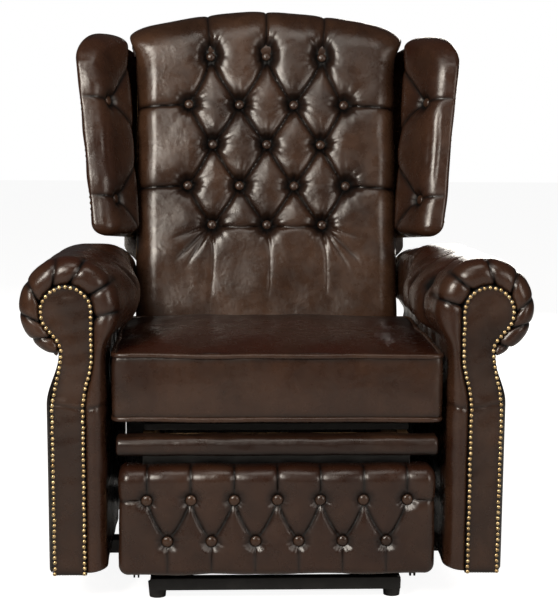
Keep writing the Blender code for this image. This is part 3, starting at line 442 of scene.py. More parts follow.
# ---------------------------------------------------------------- pieces
def make(name, points, faces, finish, marks=None, sharp=50):
    """A mesh object of these points and faces, with a value at each point for every mark."""
    mesh = bpy.data.meshes.new(name)
    mesh.from_pydata(np.asarray(points, float).reshape(-1, 3).tolist(), [], faces)
    for mark, values in (marks or {}).items():
        layer = mesh.attributes.new(mark, "FLOAT", "POINT")
        layer.data.foreach_set("value", np.asarray(values, np.float32).ravel())
    shape = bmesh.new()
    shape.from_mesh(mesh)
    bmesh.ops.recalc_face_normals(shape, faces=shape.faces)
    shape.to_mesh(mesh)
    shape.free()
    mesh.shade_smooth()
    mesh.set_sharp_from_angle(angle=math.radians(sharp))
    mesh.materials.append(finish)
    obj = bpy.data.objects.new(name, mesh)
    bpy.context.scene.collection.objects.link(obj)
    return obj


def belongs(obj, body, slot, *nodes):
    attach(obj, body)
    if nodes:
        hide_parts(*nodes)
    return obj


def tube(path, radius, sides=8, closed=True):
    """Points and faces of a round cord along a path."""
    path = np.asarray(path, float)
    if closed:
        ahead = unit(np.roll(path, -1, axis=0) - np.roll(path, 1, axis=0))
    else:
        ahead = unit(np.gradient(path, axis=0))
    up = np.array([0.13, 0.21, 0.97])
    across = unit(np.cross(ahead, up))
    over = np.cross(across, ahead)
    turn = np.linspace(0, math.tau, sides, endpoint=False)
    ring = across[:, None] * np.cos(turn)[None, :, None] + over[:, None] * np.sin(turn)[None, :, None]
    points = (path[:, None] + radius * ring).reshape(-1, 3)
    count = len(path)
    faces = grid_faces(count, sides, wrap=True)
    if closed:
        last = (count - 1) * sides
        for n in range(sides):
            faces.append([last + n, last + (n + 1) % sides, (n + 1) % sides, n])
    else:
        faces.append(list(range(sides)))
        faces.append(list(range((count - 1) * sides, count * sides)))
    return points, faces


def domes(spots, directions, profile, sides):
    """Points and faces of many small turned heads, each standing on its spot."""
    points = []
    faces = []
    turn = np.linspace(0, math.tau, sides, endpoint=False)
    for spot, direction in zip(spots, directions):
        direction = np.asarray(direction, float)
        side = unit(np.cross(direction, (0.31, 0.27, 0.91)))
        over = np.cross(direction, side)
        base = len(points)
        for radius, height in profile:
            for angle in turn:
                points.append(spot + direction * height
                              + radius * (side * math.cos(angle) + over * math.sin(angle)))
        rings = len(profile)
        faces += [[base + n for n in face] for face in grid_faces(rings, sides, wrap=True)]
        faces.append([base + n for n in range(sides)])
        faces.append([base + (rings - 1) * sides + n for n in range(sides)])
    return np.array(points), faces


def button_profile():
    angles = np.radians((80, 60, 38, 16, 0))
    outer = [(BUTTON_RADIUS * math.cos(a), BUTTON_HEIGHT * math.sin(a)) for a in angles]
    return outer + [(BUTTON_RADIUS * 0.86, -0.0022), (BUTTON_RADIUS * 0.55, -0.0045)]


def nail_profile():
    shape = [(NAIL_RADIUS * math.cos(a), NAIL_HEIGHT * math.sin(a)) for a in np.radians((78, 55, 30, 8))]
    return shape + [(NAIL_RADIUS * 0.93, -0.0004)]


def buttons(name, spots, directions, body, finish):
    points, faces = domes(spots, directions, button_profile(), 18)
    # Lighter buttons: rubbed wear with a painted sheen.
    marks = {"rub_and_painted_sheen": np.full(len(points), 0.80)}
    return belongs(make(name, points, faces, finish, marks), body, LEATHER)


def nails(name, spots, directions, body, finish, *nodes):
    points, faces = domes(spots, directions, nail_profile(), 12)
    return belongs(make(name, points, faces, finish), body, BRASS, *nodes)


# ---------------------------------------------------------------- tufting
class Tufting:
    """Buttons and folds over a flat sheet with coordinates (s, t), how deep they pull it, and the painted
    shade in their folds and pits.
    """

    def __init__(self, s, t, deepest, seed):
        self.s = s
        self.t = t
        self.deepest = deepest
        self.total = np.zeros_like(s)
        self.painted_shade = np.zeros_like(s)
        self.wrinkle = np.zeros_like(s)
        self.chance = np.random.default_rng(seed)

    def pull(self, depth):
        self.total += np.maximum(depth, 0) ** FOLD_POWER

    def button(self, at, depth, reach=0.054, wrinkles=0.0010):
        """A dimple, with a steep pit in its middle and small wrinkles around it."""
        ds = self.s - at[0]
        dt = self.t - at[1]
        far = np.hypot(ds, dt)
        share = np.clip(far / reach, 0, 1)
        pit = np.exp(-(np.clip(far - 0.0100, 0, 1) / 0.0105) ** 2)
        self.pull(depth * (0.56 * (1 - share) ** 2.2 + 0.44 * pit))
        angle = np.arctan2(dt, ds)
        pattern = np.zeros_like(far)
        for waves in (4, 7, 9, 13):
            drift = self.chance.uniform(-18, 18)
            phase = self.chance.uniform(0, math.tau)
            pattern += 1 - 2 * np.abs(np.sin(waves * angle / 2 + phase + far * drift)) ** 0.7
        around = smooth(far, 0.008, 0.017) * np.exp(-(far / (0.62 * reach)) ** 2)
        self.wrinkle += wrinkles * around * pattern
        # Painted shade: a dark halo around the button.
        shade = np.exp(-(far / (0.32 * reach)) ** 2) + 0.34 * np.exp(-(far / (0.66 * reach)) ** 2)
        shade *= 1 + 0.16 * np.clip(pattern, -2, 2) * around
        self.painted_shade = np.maximum(self.painted_shade, np.clip(shade, 0, 1))

    def fold(self, start, end, depth, ends=None, reach=(0.045, 0.045), bow=0.0, line=0.8, width=0.0022):
        """A pleat from start to end. depth is at its middle, ends at its two ends."""
        start = np.asarray(start, float)
        end = np.asarray(end, float)
        along = end - start
        length = np.linalg.norm(along)
        side = np.array([-along[1], along[0]]) / length
        ds = self.s - start[0]
        dt = self.t - start[1]
        share = np.clip((ds * along[0] + dt * along[1]) / length ** 2, 0, 1)
        bend = bow * 4 * share * (1 - share)
        off_s = ds - share * along[0] - bend * side[0]
        off_t = dt - share * along[1] - bend * side[1]
        far = np.hypot(off_s, off_t)
        above = off_s * side[0] + off_t * side[1] > 0
        width_here = np.where(above, reach[0], reach[1])
        inside = 1 - np.clip(far / width_here, 0, 1)
        puff = 1 - np.sqrt(1 - inside * inside)
        first, last = ends if ends else (depth, depth)
        near_start = np.exp(-(share * length / FOLD_END) ** 1.5)
        near_end = np.exp(-((1 - share) * length / FOLD_END) ** 1.5)
        tall = depth + (first - depth) * near_start + (last - depth) * near_end
        self.pull(tall * (0.82 * puff + 0.18 * np.exp(-(far / 0.0035) ** 2)))
        # Painted shade along the fold line, with a wider, fainter band beside it.
        fade = smooth(tall, 0.0, 0.004)
        self.painted_shade = np.maximum(self.painted_shade, line * fade * np.exp(-(far / width) ** 2))
        self.painted_shade = np.maximum(self.painted_shade, 0.46 * line * fade * np.exp(-(far / (3.0 * width)) ** 2))

    def depth(self):
        depth = self.total ** (1 / FOLD_POWER)
        return depth / (1 + (depth / self.deepest) ** 6) ** (1 / 6) + self.wrinkle


def draped(grid, tufting, weight=1.0):
    """The sheet pulled in along its normals, and its marks. Normals face out of the piece."""
    depth = tufting.depth() * weight
    return grid - grid_normals(grid) * depth[..., None], depth


def rubbed(depth, painted_shade, full=0.010):
    """Where a sheet stands proud it is rubbed lighter."""
    return np.clip(1 - depth / full, 0, 1) * (1 - painted_shade)


def from_back(points):
    """From the back's own frame to the chair's, at rest."""
    points = np.asarray(points, float)
    y, z = points[..., 1], points[..., 2]
    cos, sin = math.cos(BACK_TILT), math.sin(BACK_TILT)
    return np.stack([points[..., 0], HINGE.y + y * cos + z * sin, HINGE.z - y * sin + z * cos], axis=-1)


def turned(direction):
    """A direction of the back's own frame, in the chair's."""
    return from_back(np.array(direction)) - from_back(np.zeros(3))


def swept(across, along):
    """A sheet from a sideways run (x, inset) and an upright run (y, z), rounded at its sides."""
    normal = line_normals(along)
    grid = np.empty((len(along), len(across), 3))
    grid[..., 0] = across[None, :, 0]
    grid[..., 1] = along[:, None, 0] - normal[:, None, 0] * across[None, :, 1]
    grid[..., 2] = along[:, None, 1] - normal[:, None, 1] * across[None, :, 1]
    return grid


def closed_sheet(rows, columns):
    """Faces of a sheet closed behind, above and below."""
    faces = grid_faces(rows, columns, wrap=True)
    faces.append(list(range(columns)))
    faces.append(list(range((rows - 1) * columns, rows * columns)))
    return faces


def side_run(half_width, radius, rest, step):
    """Across a front face and round both its sides: x and how far behind the face it lies."""
    half = rounded_path([(0, 0, 0), (half_width, 0, radius), (half_width, radius + rest, 0)])
    half, at = evenly(half, step)
    line = np.concatenate([half[:0:-1] * (-1, 1), half])
    return line, np.concatenate([-at[:0:-1], at])


def spots_on(grid, s, t, places, lift, normals=None):
    """Where buttons sit on a made sheet: the nearest grid point to each place, and its direction."""
    normals = grid_normals(grid) if normals is None else normals
    spots = []
    directions = []
    for place in places:
        gap = (s - place[0]) ** 2 + (t - place[1]) ** 2
        at = np.unravel_index(np.argmin(gap), gap.shape)
        spots.append(grid[at] + normals[at] * lift)
        directions.append(normals[at])
    return spots, directions


# ---------------------------------------------------------------- back
def back_arch(x):
    return BACK_ARCH * (1 - (x / BACK_HALF_WIDTH) ** 2)


def back_folds(cover):
    """Diamonds between the rows, pleats over the top and down to the seat, and creases to the sides."""
    pit = BACK_PIT
    middle = 0.0105
    for (high, uppers), (low, lowers) in zip(BACK_ROWS, BACK_ROWS[1:]):
        for upper in uppers:
            for lower in lowers:
                if abs(upper - lower) < 0.08:
                    cover.fold((upper, high), (lower, low), middle, (pit, pit), (0.043, 0.036),
                               bow=0.004 * math.copysign(1, upper - lower))
    top, uppers = BACK_ROWS[0]
    bottom, lowers = BACK_ROWS[-1]
    for x in uppers:
        cover.fold((x, top), (x * 1.01, top + 0.200), 0.0042, (pit, 0.0020), (0.040, 0.040), line=0.6)
    for x in lowers:
        cover.fold((x, bottom), (x * 1.05, bottom - 0.17), 0.0022, (pit, 0.0), (0.040, 0.040),
                   bow=0.006, line=0.16)
    for row in (BACK_ROWS[1], BACK_ROWS[3]):
        for sign in (-1, 1):
            x = sign * max(row[1])
            cover.fold((x, row[0]), (sign * 0.34, row[0] - 0.006), 0.0065, (pit, 0.004), (0.030, 0.046),
                       bow=-sign * 0.004, line=0.85)
    for first, last in zip(lowers, lowers[1:]):
        cover.fold((first, bottom), (last, bottom), 0.0036, (pit, pit), (0.030, 0.030), bow=-0.006, line=0.55)
    for sign in (-1, 1):
        x = sign * max(lowers)
        for aside, down, depth, reach, line in CORNER_FOLDS:
            cover.fold((x, bottom), (x + sign * aside, bottom - down), depth, (pit, 0), (reach, reach),
                       line=line)
    for row, xs in BACK_ROWS:
        for x in xs:
            cover.button((x, row), pit)


def back_cover(leather):
    """The deep-buttoned inside back, over its top to the outside back."""
    step = 0.0026
    across, s = side_run(BACK_HALF_WIDTH - 0.001, BACK_SIDE_RADIUS, 0.070, step)
    upright = rounded_path([(BACK_FRONT, BACK_LOW, 0), (BACK_FRONT, BACK_TOP, BACK_TOP_RADIUS),
                            (BACK_TOP_REAR, BACK_TOP, 0.014), (BACK_TOP_REAR, BACK_TOP - 0.030, 0)])
    along, t = evenly(upright, step)
    t = t + BACK_LOW
    near_top = smooth(along[:, 1], 0.640, 0.745)[:, None]
    side_depth = BACK_SIDE_RADIUS + 0.070 * (1 - smooth(along[:, 1], 0.600, 0.690)[:, None])
    depth = np.minimum(across[None, :, 1], side_depth) * (1 - 0.72 * near_top)
    grid = np.empty((len(along), len(across), 3))
    normal = line_normals(along)
    grid[..., 0] = across[None, :, 0] * (1 + BACK_TOP_SPREAD * smooth(along[:, 1], 0.690, 0.755)[:, None])
    grid[..., 1] = along[:, None, 0] - normal[:, None, 0] * depth
    grid[..., 2] = along[:, None, 1] - normal[:, None, 1] * depth
    grid[..., 2] += back_arch(across[None, :, 0]) * smooth(along[:, 1], 0.650, 0.762)[:, None]
    ss, tt = np.meshgrid(s, t)
    cover = Tufting(ss, tt, BACK_DEEPEST, seed=11)
    back_folds(cover)
    weight = 1 - 0.75 * smooth(np.abs(ss), 0.275, 0.345)
    made, pulled = draped(grid, cover, weight)
    made += grid_normals(grid) * ripple(ss, tt, 5, 0.16, 0.0012)[..., None]
    # Over the top roll: red-brown tone with painted shade, and more painted shade over the top; painted shade
    # in the folds.
    red_tone_painted_shade = smooth(tt, 0.745, 0.810) * 0.9
    shade = np.maximum(cover.painted_shade, 0.22 * smooth(tt, 0.735, 0.800))
    marks = {"painted_shade": shade, "rub_and_painted_sheen": rubbed(pulled, cover.painted_shade, 0.022), "red_tone_painted_shade": red_tone_painted_shade}
    obj = make("back_cover", from_back(made), closed_sheet(*ss.shape), leather, marks)
    belongs(obj, "back", LEATHER, "back_cushion")
    places = [(x, row) for row, xs in BACK_ROWS for x in xs]
    spots, _ = spots_on(from_back(made), ss, tt, places, 0.0060)
    buttons("back_buttons", spots, [turned((0, -1, 0))] * len(spots), "back", leather)


# ---------------------------------------------------------------- wings
def wing_outer(y, z):
    share = (WING_REAR - y) / (WING_REAR - WING_FRONT)
    height = (z - WING_FOOT_FRONT) / (WING_TOP - WING_FOOT_FRONT)
    return WING_REAR_X + share * (WING_FLARE[0] + height * (WING_FLARE[1] - WING_FLARE[0]))


def wing_run(step):
    """Once around a wing: how far forward, how far out from its middle, and the sheet's coordinate."""
    half = WING_HALF_THICKNESS
    front = -WING_FRONT
    path = rounded_path([(-WING_REAR, half, 0), (front, half, WING_OUTER_RADIUS), (front, -half, 0.036),
                         (0.132, -half - WING_SWELL, 0.032), (0.098, -half - 0.004, 0.03),
                         (0.030, -WING_REAR_HALF, 0.05), (-WING_REAR + 0.002, -WING_REAR_HALF, 0)])
    path, at = evenly(path, step)
    return path, at - at[np.argmax(path[:, 0])]


def wing_sheet_place(button):
    """The sheet's coordinates of a button given by its place (y, z) on the inside of the wing."""
    run, a = wing_run(0.0010)
    inner = a > 0.045
    return a[inner][np.argmin(np.abs(run[inner, 0] + button[0]))], button[1]


def wing_folds(cover, places):
    pit = WING_PIT
    high, upper, lower, low = places
    cover.fold(high, upper, 0.0085, (pit, pit), (0.050, 0.040), bow=-0.006)
    cover.fold(upper, lower, 0.0085, (pit, pit), (0.040, 0.050), bow=0.008)
    cover.fold(lower, low, 0.0085, (pit, pit), (0.050, 0.040), bow=-0.006)
    cover.fold(low, (low[0] + 0.095, low[1] - 0.085), 0.0050, (pit, 0.001), (0.035, 0.035), bow=0.006)
    cover.fold(high, (high[0] + 0.055, high[1] - 0.045), 0.0055, (pit, 0.003), (0.035, 0.035))
    cover.fold(high, (high[0] - 0.020, high[1] + 0.060), 0.0040, (pit, 0.001), (0.035, 0.035), line=0.4)
    for place in (upper, low):
        cover.fold(place, (-0.006, place[1] + 0.002), 0.0036, (pit, 0.0016), (0.050, 0.050), line=0.8)
    for a, bottom, top in ((0.022, 0.385, 0.570), (0.041, 0.400, 0.550), (0.027, 0.590, 0.650)):
        cover.fold((a, bottom), (a + 0.004, top), 0.0012, (0, 0), (0.014, 0.014), line=0.0, bow=0.003)
    for place in places:
        cover.button(place, pit, reach=0.044, wrinkles=0.0006)


def wing(side, sign, leather, brass):
    """One wing: padded and buttoned inside, its front edge rounded, nailed along the outside."""
    run, a = wing_run(0.0030)
    half = WING_HALF_THICKNESS
    turns = np.radians(np.linspace(-88, 0, 12))
    share = np.linspace(0, 1, 142)[1:-1]
    lift = np.concatenate([np.sin(turns), np.zeros(len(share)), np.sin(-turns[::-1])]) * half
    scale = np.concatenate([np.cos(turns), np.ones(len(share)), np.cos(turns[::-1])])
    share = np.concatenate([np.zeros(12), share, np.ones(12)])
    spine = np.minimum(run[:, 0], -WING_FRONT - half)
    forward = spine[None] + (run[None, :, 0] - spine[None]) * scale[:, None]
    out = run[None, :, 1] * scale[:, None]
    length, fall = WING_CORNER
    corner = np.clip((forward + WING_FRONT + length) / length, 0, 1)
    top = WING_TOP - fall * (1 - np.sqrt(1 - np.minimum(corner, 0.985) ** 2))
    foot = WING_FOOT_FRONT + WING_FOOT_RISE * (-WING_FRONT - forward) / (WING_REAR - WING_FRONT)
    z = foot + half + (top - foot - 2 * half) * share[:, None] + lift[:, None]
    x = wing_outer(-forward, z) - half + out
    grid = np.stack([sign * x, -forward, z], axis=-1)
    aa = np.broadcast_to(a, z.shape)
    cover = Tufting(aa, z, WING_DEEPEST, seed=21 + sign)
    places = [wing_sheet_place(button) for button in WING_BUTTONS]
    wing_folds(cover, places)
    inside = smooth(aa, -0.012, 0.002) * (1 - 0.8 * smooth(aa, 0.200, 0.250))
    inside = inside * smooth(scale, 0.35, 0.95)[:, None]
    depth = cover.depth() * inside
    normals = grid_normals(grid) * sign * -1
    normals = normals if outward(grid, normals) else -normals
    made = grid - normals * depth[..., None]
    made += normals * (ripple(aa, z, 40 + sign, 0.12, 0.0010) * smooth(scale, 0.3, 0.9)[:, None])[..., None]
    # Painted shade in the folds; red-brown tone with painted shade, strongest towards the top.
    painted_shade = cover.painted_shade * inside
    red_tone_painted_shade = 0.35 + 0.45 * smooth(z, 0.66, 0.74)
    marks = {"painted_shade": painted_shade, "rub_and_painted_sheen": rubbed(depth, painted_shade, 0.016) * 0.85, "red_tone_painted_shade": red_tone_painted_shade * (1 - painted_shade)}
    obj = make(f"wing_{side}", from_back(made), closed_sheet(*z.shape), leather, marks)
    belongs(obj, "back", LEATHER, f"wing_frame_{side}", f"wing_pad_{side}")
    spots, directions = spots_on(made, aa, z, places, 0.0022, normals)
    buttons(f"wing_buttons_{side}", from_back(spots), [turned(d) for d in directions], "back", leather)
    wing_nails(side, sign, brass)
    wing_welt(side, sign, leather)


def outward(grid, normals):
    """Whether these normals point away from the middle of the piece."""
    away = grid - grid.reshape(-1, 3).mean(axis=0)
    return float((away * normals).sum()) > 0


def wing_nails(side, sign, brass):
    """A row down the outer face, close behind its front edge."""
    forward = -WING_FRONT - 0.017
    heights = np.arange(WING_FOOT_FRONT + 0.034, WING_TOP - WING_CORNER[1] - 0.004, 0.0125)
    spots = [from_back(np.array([sign * (wing_outer(-forward, z) + 0.0003), -forward, z])) for z in heights]
    nails(f"wing_nails_{side}", spots, [np.array([sign, -0.12, 0.0])] * len(spots), "back", brass)


def wing_welt(side, sign, leather):
    """Piping on the outer face beside the nails, from the wing's foot over its corner to the rear."""
    path = rounded_path([(0.060, WING_FOOT_FRONT + 0.060, 0), (0.202, WING_FOOT_FRONT + 0.026, 0.020),
                         (0.202, WING_TOP - 0.075, 0.040), (0.120, WING_TOP - 0.030, 0.060),
                         (-0.030, WING_TOP - 0.026, 0)])
    path, _ = evenly(path, 0.006)
    points = [(sign * (wing_outer(-f, z) - 0.0002), -f, z) for f, z in path]
    spots, faces = tube(from_back(np.array(points)), 0.0026, closed=False)
    obj = make(f"wing_welt_{side}", spots, faces, leather, {"rub_and_painted_sheen": np.full(len(spots), 0.5)})
    belongs(obj, "back", LEATHER)


# ---------------------------------------------------------------- arms
def nail_line():
    """The facing's nails, in (x, z), from its outer foot over the scroll to its inner foot."""
    joint = arc(SCROLL, SCROLL_RADIUS, -35, -35, 1)[0]
    heading = math.radians(55)
    into_scroll = joint - 0.020 * np.array([math.cos(heading), math.sin(heading)])
    neck_outer = np.array([SCROLL[0] + 0.009, SCROLL[1] - 0.071])
    neck_inner = np.array([SCROLL[0] - SCROLL_RADIUS, SCROLL[1] - 0.083])
    hip_outer = np.array([SCROLL[0] + 0.026, SCROLL[1] - 0.181])
    hip_inner = np.array([SCROLL[0] - 0.029, SCROLL[1] - 0.173])
    foot_outer = np.array([SCROLL[0] + 0.024, ARM_BOTTOM + FACING_EDGE])
    foot_inner = np.array([SCROLL[0] - 0.030, ARM_BOTTOM + FACING_EDGE])
    parts = [[foot_outer], eased(hip_outer, neck_outer),
             bezier(neck_outer, neck_outer + (0, 0.018), into_scroll, joint)[1:],
             arc(SCROLL, SCROLL_RADIUS, -35, 180, 60)[1:], eased(neck_inner, hip_inner), [foot_inner]]
    return np.concatenate([np.asarray(part) for part in parts])


def split_line(line):
    """The outer part of the nail line from its neck to the scroll's innermost point, and the rest."""
    neck = np.argmin(np.hypot(line[:, 0] - SCROLL[0] - 0.009, line[:, 1] - SCROLL[1] + 0.071))
    inner = np.argmin(np.hypot(line[:, 0] - SCROLL[0] + SCROLL_RADIUS, line[:, 1] - SCROLL[1]))
    return line[neck:inner + 1], line[inner:]


def arm_swell(x, y):
    """How far the padding swells towards the sitter, between the facing and the back."""
    inwards = np.clip((ARM_ROLL_X - x) / ARM_ROLL_RADIUS[1], 0, 1)
    return ARM_SWELL * inwards ** 2 * smooth(y, ARM_RIM_START, -0.280) * (1 - smooth(y, -0.130, -0.010))


def arm_section(y, roll_count, inner_count):
    """The arm's leather in (x, z): from the lip under the roll, over it and down the inside."""
    centre = np.interp(y, ARM_ROLL_Y, ARM_ROLL_Z)
    radius = np.interp(y, ARM_ROLL_Y, ARM_ROLL_RADIUS)
    lip = math.degrees(math.asin(ARM_LIP / radius)) - 90
    roll = arc((ARM_ROLL_X, centre), radius, lip, 180, roll_count)
    full = float(smooth(y, -0.120, 0.010))
    turned = np.radians(np.linspace(lip, 180, roll_count + 1))
    inner_side = turned > math.pi / 2
    power = 2 / (2 + ARM_SQUARENESS * full)
    reach = radius + full * (ARM_ROLL_X - ARM_BESIDE_BACK - radius)
    roll[inner_side, 0] = ARM_ROLL_X - reach * np.abs(np.cos(turned[inner_side])) ** power
    roll[inner_side, 1] = centre + radius * np.abs(np.sin(turned[inner_side])) ** power
    inner = np.concatenate([arc((ARM_ROLL_X, centre), radius, 180, 214, 12),
                            bezier(*inner_turn(centre, radius), 14)[1:], [(ARM_INNER_X, ARM_LOW)]])
    inner, _ = evenly(inner, count=inner_count + 1)
    line = np.concatenate([roll, inner[1:]])
    above_seat = smooth(line[:, 1], SEAT_TOP - 0.004, SEAT_TOP + 0.014)
    below_crown = (line[:, 1] < centre) & (line[:, 0] < ARM_ROLL_X)
    beside_back = np.where(below_crown, np.minimum(line[:, 0], ARM_BESIDE_BACK), line[:, 0])
    line[:, 0] += (beside_back - line[:, 0]) * full * above_seat
    line[:, 0] -= arm_swell(line[:, 0], y) * smooth(line[:, 1], SEAT_TOP, SEAT_TOP + 0.030)
    return line


def inner_turn(centre, radius):
    """The curve from the roll's underside into the flat of the inside arm."""
    angle = math.radians(214)
    start = np.array([ARM_ROLL_X + radius * math.cos(angle), centre + radius * math.sin(angle)])
    heading = np.array([-math.sin(angle), math.cos(angle)])
    end = np.array([ARM_INNER_X, centre - radius - 0.012])
    return start, start + heading * 0.018, end + (0, 0.024), end


def rim_targets(roll_count, inner_count):
    """Where the leather of each column of the arm tucks in behind the facing."""
    outer, inner = split_line(moved_aside(nail_line(), FACING_EDGE - 0.0015))
    roll, _ = evenly(outer, count=roll_count + 1)
    down, _ = evenly(inner, count=inner_count + 1)
    return np.concatenate([roll, down[1:]])


def rim_run(count):
    """Over the front rim: the share of the way in to the facing, and how far forward."""
    first = np.linspace(0, math.pi / 2, count)[1:]
    second = np.linspace(0, math.pi / 2, count // 2)[1:]
    inwards = np.concatenate([0.60 * (1 - np.cos(first)), 0.60 + 0.40 * np.sin(second)])
    ahead = np.concatenate([np.sin(first), 1 - 0.34 * (1 - np.cos(second))])
    return np.stack([inwards, ahead], axis=1)


def arm_folds(cover, start, pleats, tufts, roll_length):
    """Pleats gathered into the scroll, and tufts along the inside."""
    radius = ARM_ROLL_RADIUS[0]
    lip = math.asin(ARM_LIP / radius) - math.pi / 2
    for n, degrees in enumerate(pleats):
        u = (math.radians(degrees) - lip) * radius
        if degrees > 180:
            u = roll_length + (math.radians(degrees) - math.pi) * radius
        reach = 0.100 + 0.024 * math.sin(2.3 * n + 1)
        cover.fold((u, start), (u + 0.004 * math.sin(n * 1.7), start + reach), 0.0062, (0.0078, 0.0),
                   (0.022, 0.022), line=0.95, bow=0.003 * math.sin(n))
        cover.fold((u, start), (u + 0.012, start + 0.034), 0.0022, (0.0040, 0.0), (0.010, 0.010), line=0.3)
    for y, degrees in tufts:
        u = (math.radians(degrees) - lip) * radius
        v = y - ARM_RIM_START
        cover.button((u, v), ARM_PIT, reach=0.046, wrinkles=0.0008)
        cover.fold((u, v), (u + 0.135, v - 0.030), 0.0055, (0.012, 0.0), (0.048, 0.048), line=0.55, bow=0.008)
        cover.fold((u, v), (u - 0.095, v + 0.020), 0.0042, (0.012, 0.0), (0.048, 0.048), line=0.45, bow=0.007)


def arm_cover(side, sign, leather, pleats, tufts):
    """The leather over the roll and down the inside arm, gathered over the front rim to the facing."""
    step = 0.0034
    roll_count = 112
    inner_count = 132
    ys = np.arange(ARM_ROLL_Y[2] - 0.002, ARM_RIM_START, -step)
    ys[-1] = ARM_RIM_START
    rows = [arm_section(y, roll_count, inner_count) for y in ys]
    body = np.stack([stood_up(row, y) for row, y in zip(rows, ys)])
    last = body[-1]
    targets = rim_targets(roll_count, inner_count)
    rim_rows = []
    for share, ahead in rim_run(16):
        flat = last[:, (0, 2)] * (1 - share) + targets * share
        rim_rows.append(stood_up(flat, ARM_RIM_START - ARM_RIM_DEPTH * ahead))
    grid = np.concatenate([body, np.stack(rim_rows)])
    grid = grid * (sign, 1, 1)
    u = np.concatenate([[0], np.cumsum(np.linalg.norm(np.diff(last, axis=0), axis=1))])
    spans = np.linalg.norm(np.diff(grid, axis=0), axis=2).mean(axis=1)
    v = ARM_ROLL_Y[2] - 0.002 - np.concatenate([[0], np.cumsum(spans)]) - ARM_RIM_START
    uu, vv = np.meshgrid(u, v)
    cover = Tufting(uu, vv, ARM_DEEPEST, seed=31 + sign)
    arm_folds(cover, v[-1], pleats, tufts, u[roll_count])
    hip = u[roll_count] + (ARM_ROLL_Z[0] - 0.378)
    cover.fold((hip, -0.055), (hip + 0.004, 0.030), 0.0026, (0.003, 0), (0.014, 0.014), line=0.5)
    depth = cover.depth() + ripple(uu, vv, 60 + sign, 0.10, 0.0011) * smooth(vv, -0.040, 0.010)
    depth = depth * smooth(uu, 0.0, 0.012)
    normals = grid_normals(grid)
    normals = normals if outward(grid[:, :roll_count], normals[:, :roll_count]) else -normals
    made = grid - normals * depth[..., None]
    # Red-brown tone with painted shade where the roll faces up; painted shade in the folds and where the
    # leather tucks in at the facing.
    facing_up = np.clip(normals[..., 2], 0, 1)
    red_tone_painted_shade = 0.30 + 0.60 * smooth(facing_up, 0.55, 0.95)
    shade = cover.painted_shade + 0.75 * (1 - smooth(vv, v[-1], v[-1] + 0.012))
    marks = {"painted_shade": np.clip(shade, 0, 1), "rub_and_painted_sheen": rubbed(depth, cover.painted_shade, 0.010) * 0.8, "red_tone_painted_shade": red_tone_painted_shade}
    obj = make(f"arm_cover_{side}", made, grid_faces(*uu.shape), leather, marks)
    shell(obj, 0.0022)
    belongs(obj, "base", LEATHER, f"arm_pad_{side}")


def arm_rear(side, sign, leather):
    """The panel that closes the arm behind: the end of the roll and the space down to its foot."""
    end = ARM_ROLL_Y[2] - 0.002
    section = moved_aside(arm_section(end, 112, 132), -0.0008)[:-1]
    crown = np.argmax(section[:, 1])
    lip = section[0]
    foot = np.array([(OUTSIDE_FOOT_X, ARM_LOW), (0.4200, lip[1] - 0.093)])
    outer, _ = evenly(np.concatenate([foot, section[:crown + 1]]), count=150)
    inner, _ = evenly(section[:crown - 1:-1], count=150)
    flat = ruled(outer, inner, 34)
    gap = gap_to(flat, np.concatenate([outer, inner[::-1], outer[:1]]))
    y = end + 0.0040 - edge_drop(gap, 0.0035) + ripple(flat[..., 0], flat[..., 1], 75 + sign, 0.08, 0.0003)
    front = np.stack([sign * flat[..., 0], y, flat[..., 1]], axis=-1)
    # Painted shade along the panel's edges.
    obj = panel(f"arm_rear_panel_{side}", front, set_back(front, end - 0.0010),
                0.6 * (1 - smooth(gap, 0, 0.005)), 0.35 * smooth(gap, 0.004, 0.03), leather)
    belongs(obj, "base", LEATHER)


def shell(obj, thickness):
    """Gives an open sheet of leather its thickness, inwards."""
    modifier = obj.modifiers.new("leather", "SOLIDIFY")
    modifier.thickness = thickness
    modifier.offset = -1


def stood_up(line, y):
    """A line of (x, z) points as 3-D points at this y."""
    return np.column_stack([line[:, 0], np.full(len(line), y), line[:, 1]])


def gap_to(points, outline):
    """How far each 2-D point lies from an outline."""
    dense, _ = evenly(outline, 0.0015)
    flat = points.reshape(-1, 2)
    nearest = np.full(len(flat), 1.0)
    for start in range(0, len(dense), 200):
        block = dense[start:start + 200]
        away = np.linalg.norm(flat[:, None] - block[None], axis=2).min(axis=1)
        nearest = np.minimum(nearest, away)
    return nearest.reshape(points.shape[:-1])


def edge_drop(gap, radius):
    """How far a rounded edge has fallen away at this distance from the outline."""
    inside = np.clip(gap / radius, 0, 1)
    return radius * (1 - np.sqrt(1 - (1 - inside) ** 2))


def ruled(first, second, columns):
    """A 2-D grid between two edges with the same number of points."""
    share = np.linspace(0, 1, columns)[None, :, None]
    return first[:, None] * (1 - share) + second[:, None] * share


def closed_panel(front, behind):
    """Points and faces of a panel: its front grid, and a flat back under the grid's rim."""
    rows, columns = front.shape[:2]
    edge = rim(rows, columns)
    points = np.concatenate([front.reshape(-1, 3), behind.reshape(-1, 3)[edge]])
    faces = grid_faces(rows, columns)
    base = rows * columns
    count = len(edge)
    for n in range(count):
        after = (n + 1) % count
        faces.append([int(edge[n]), base + n, base + after, int(edge[after])])
    faces.append([base + n for n in range(count)])
    return points, faces


def set_back(front, y):
    """The same grid, flattened to this y."""
    behind = front.copy()
    behind[..., 1] = y
    return behind


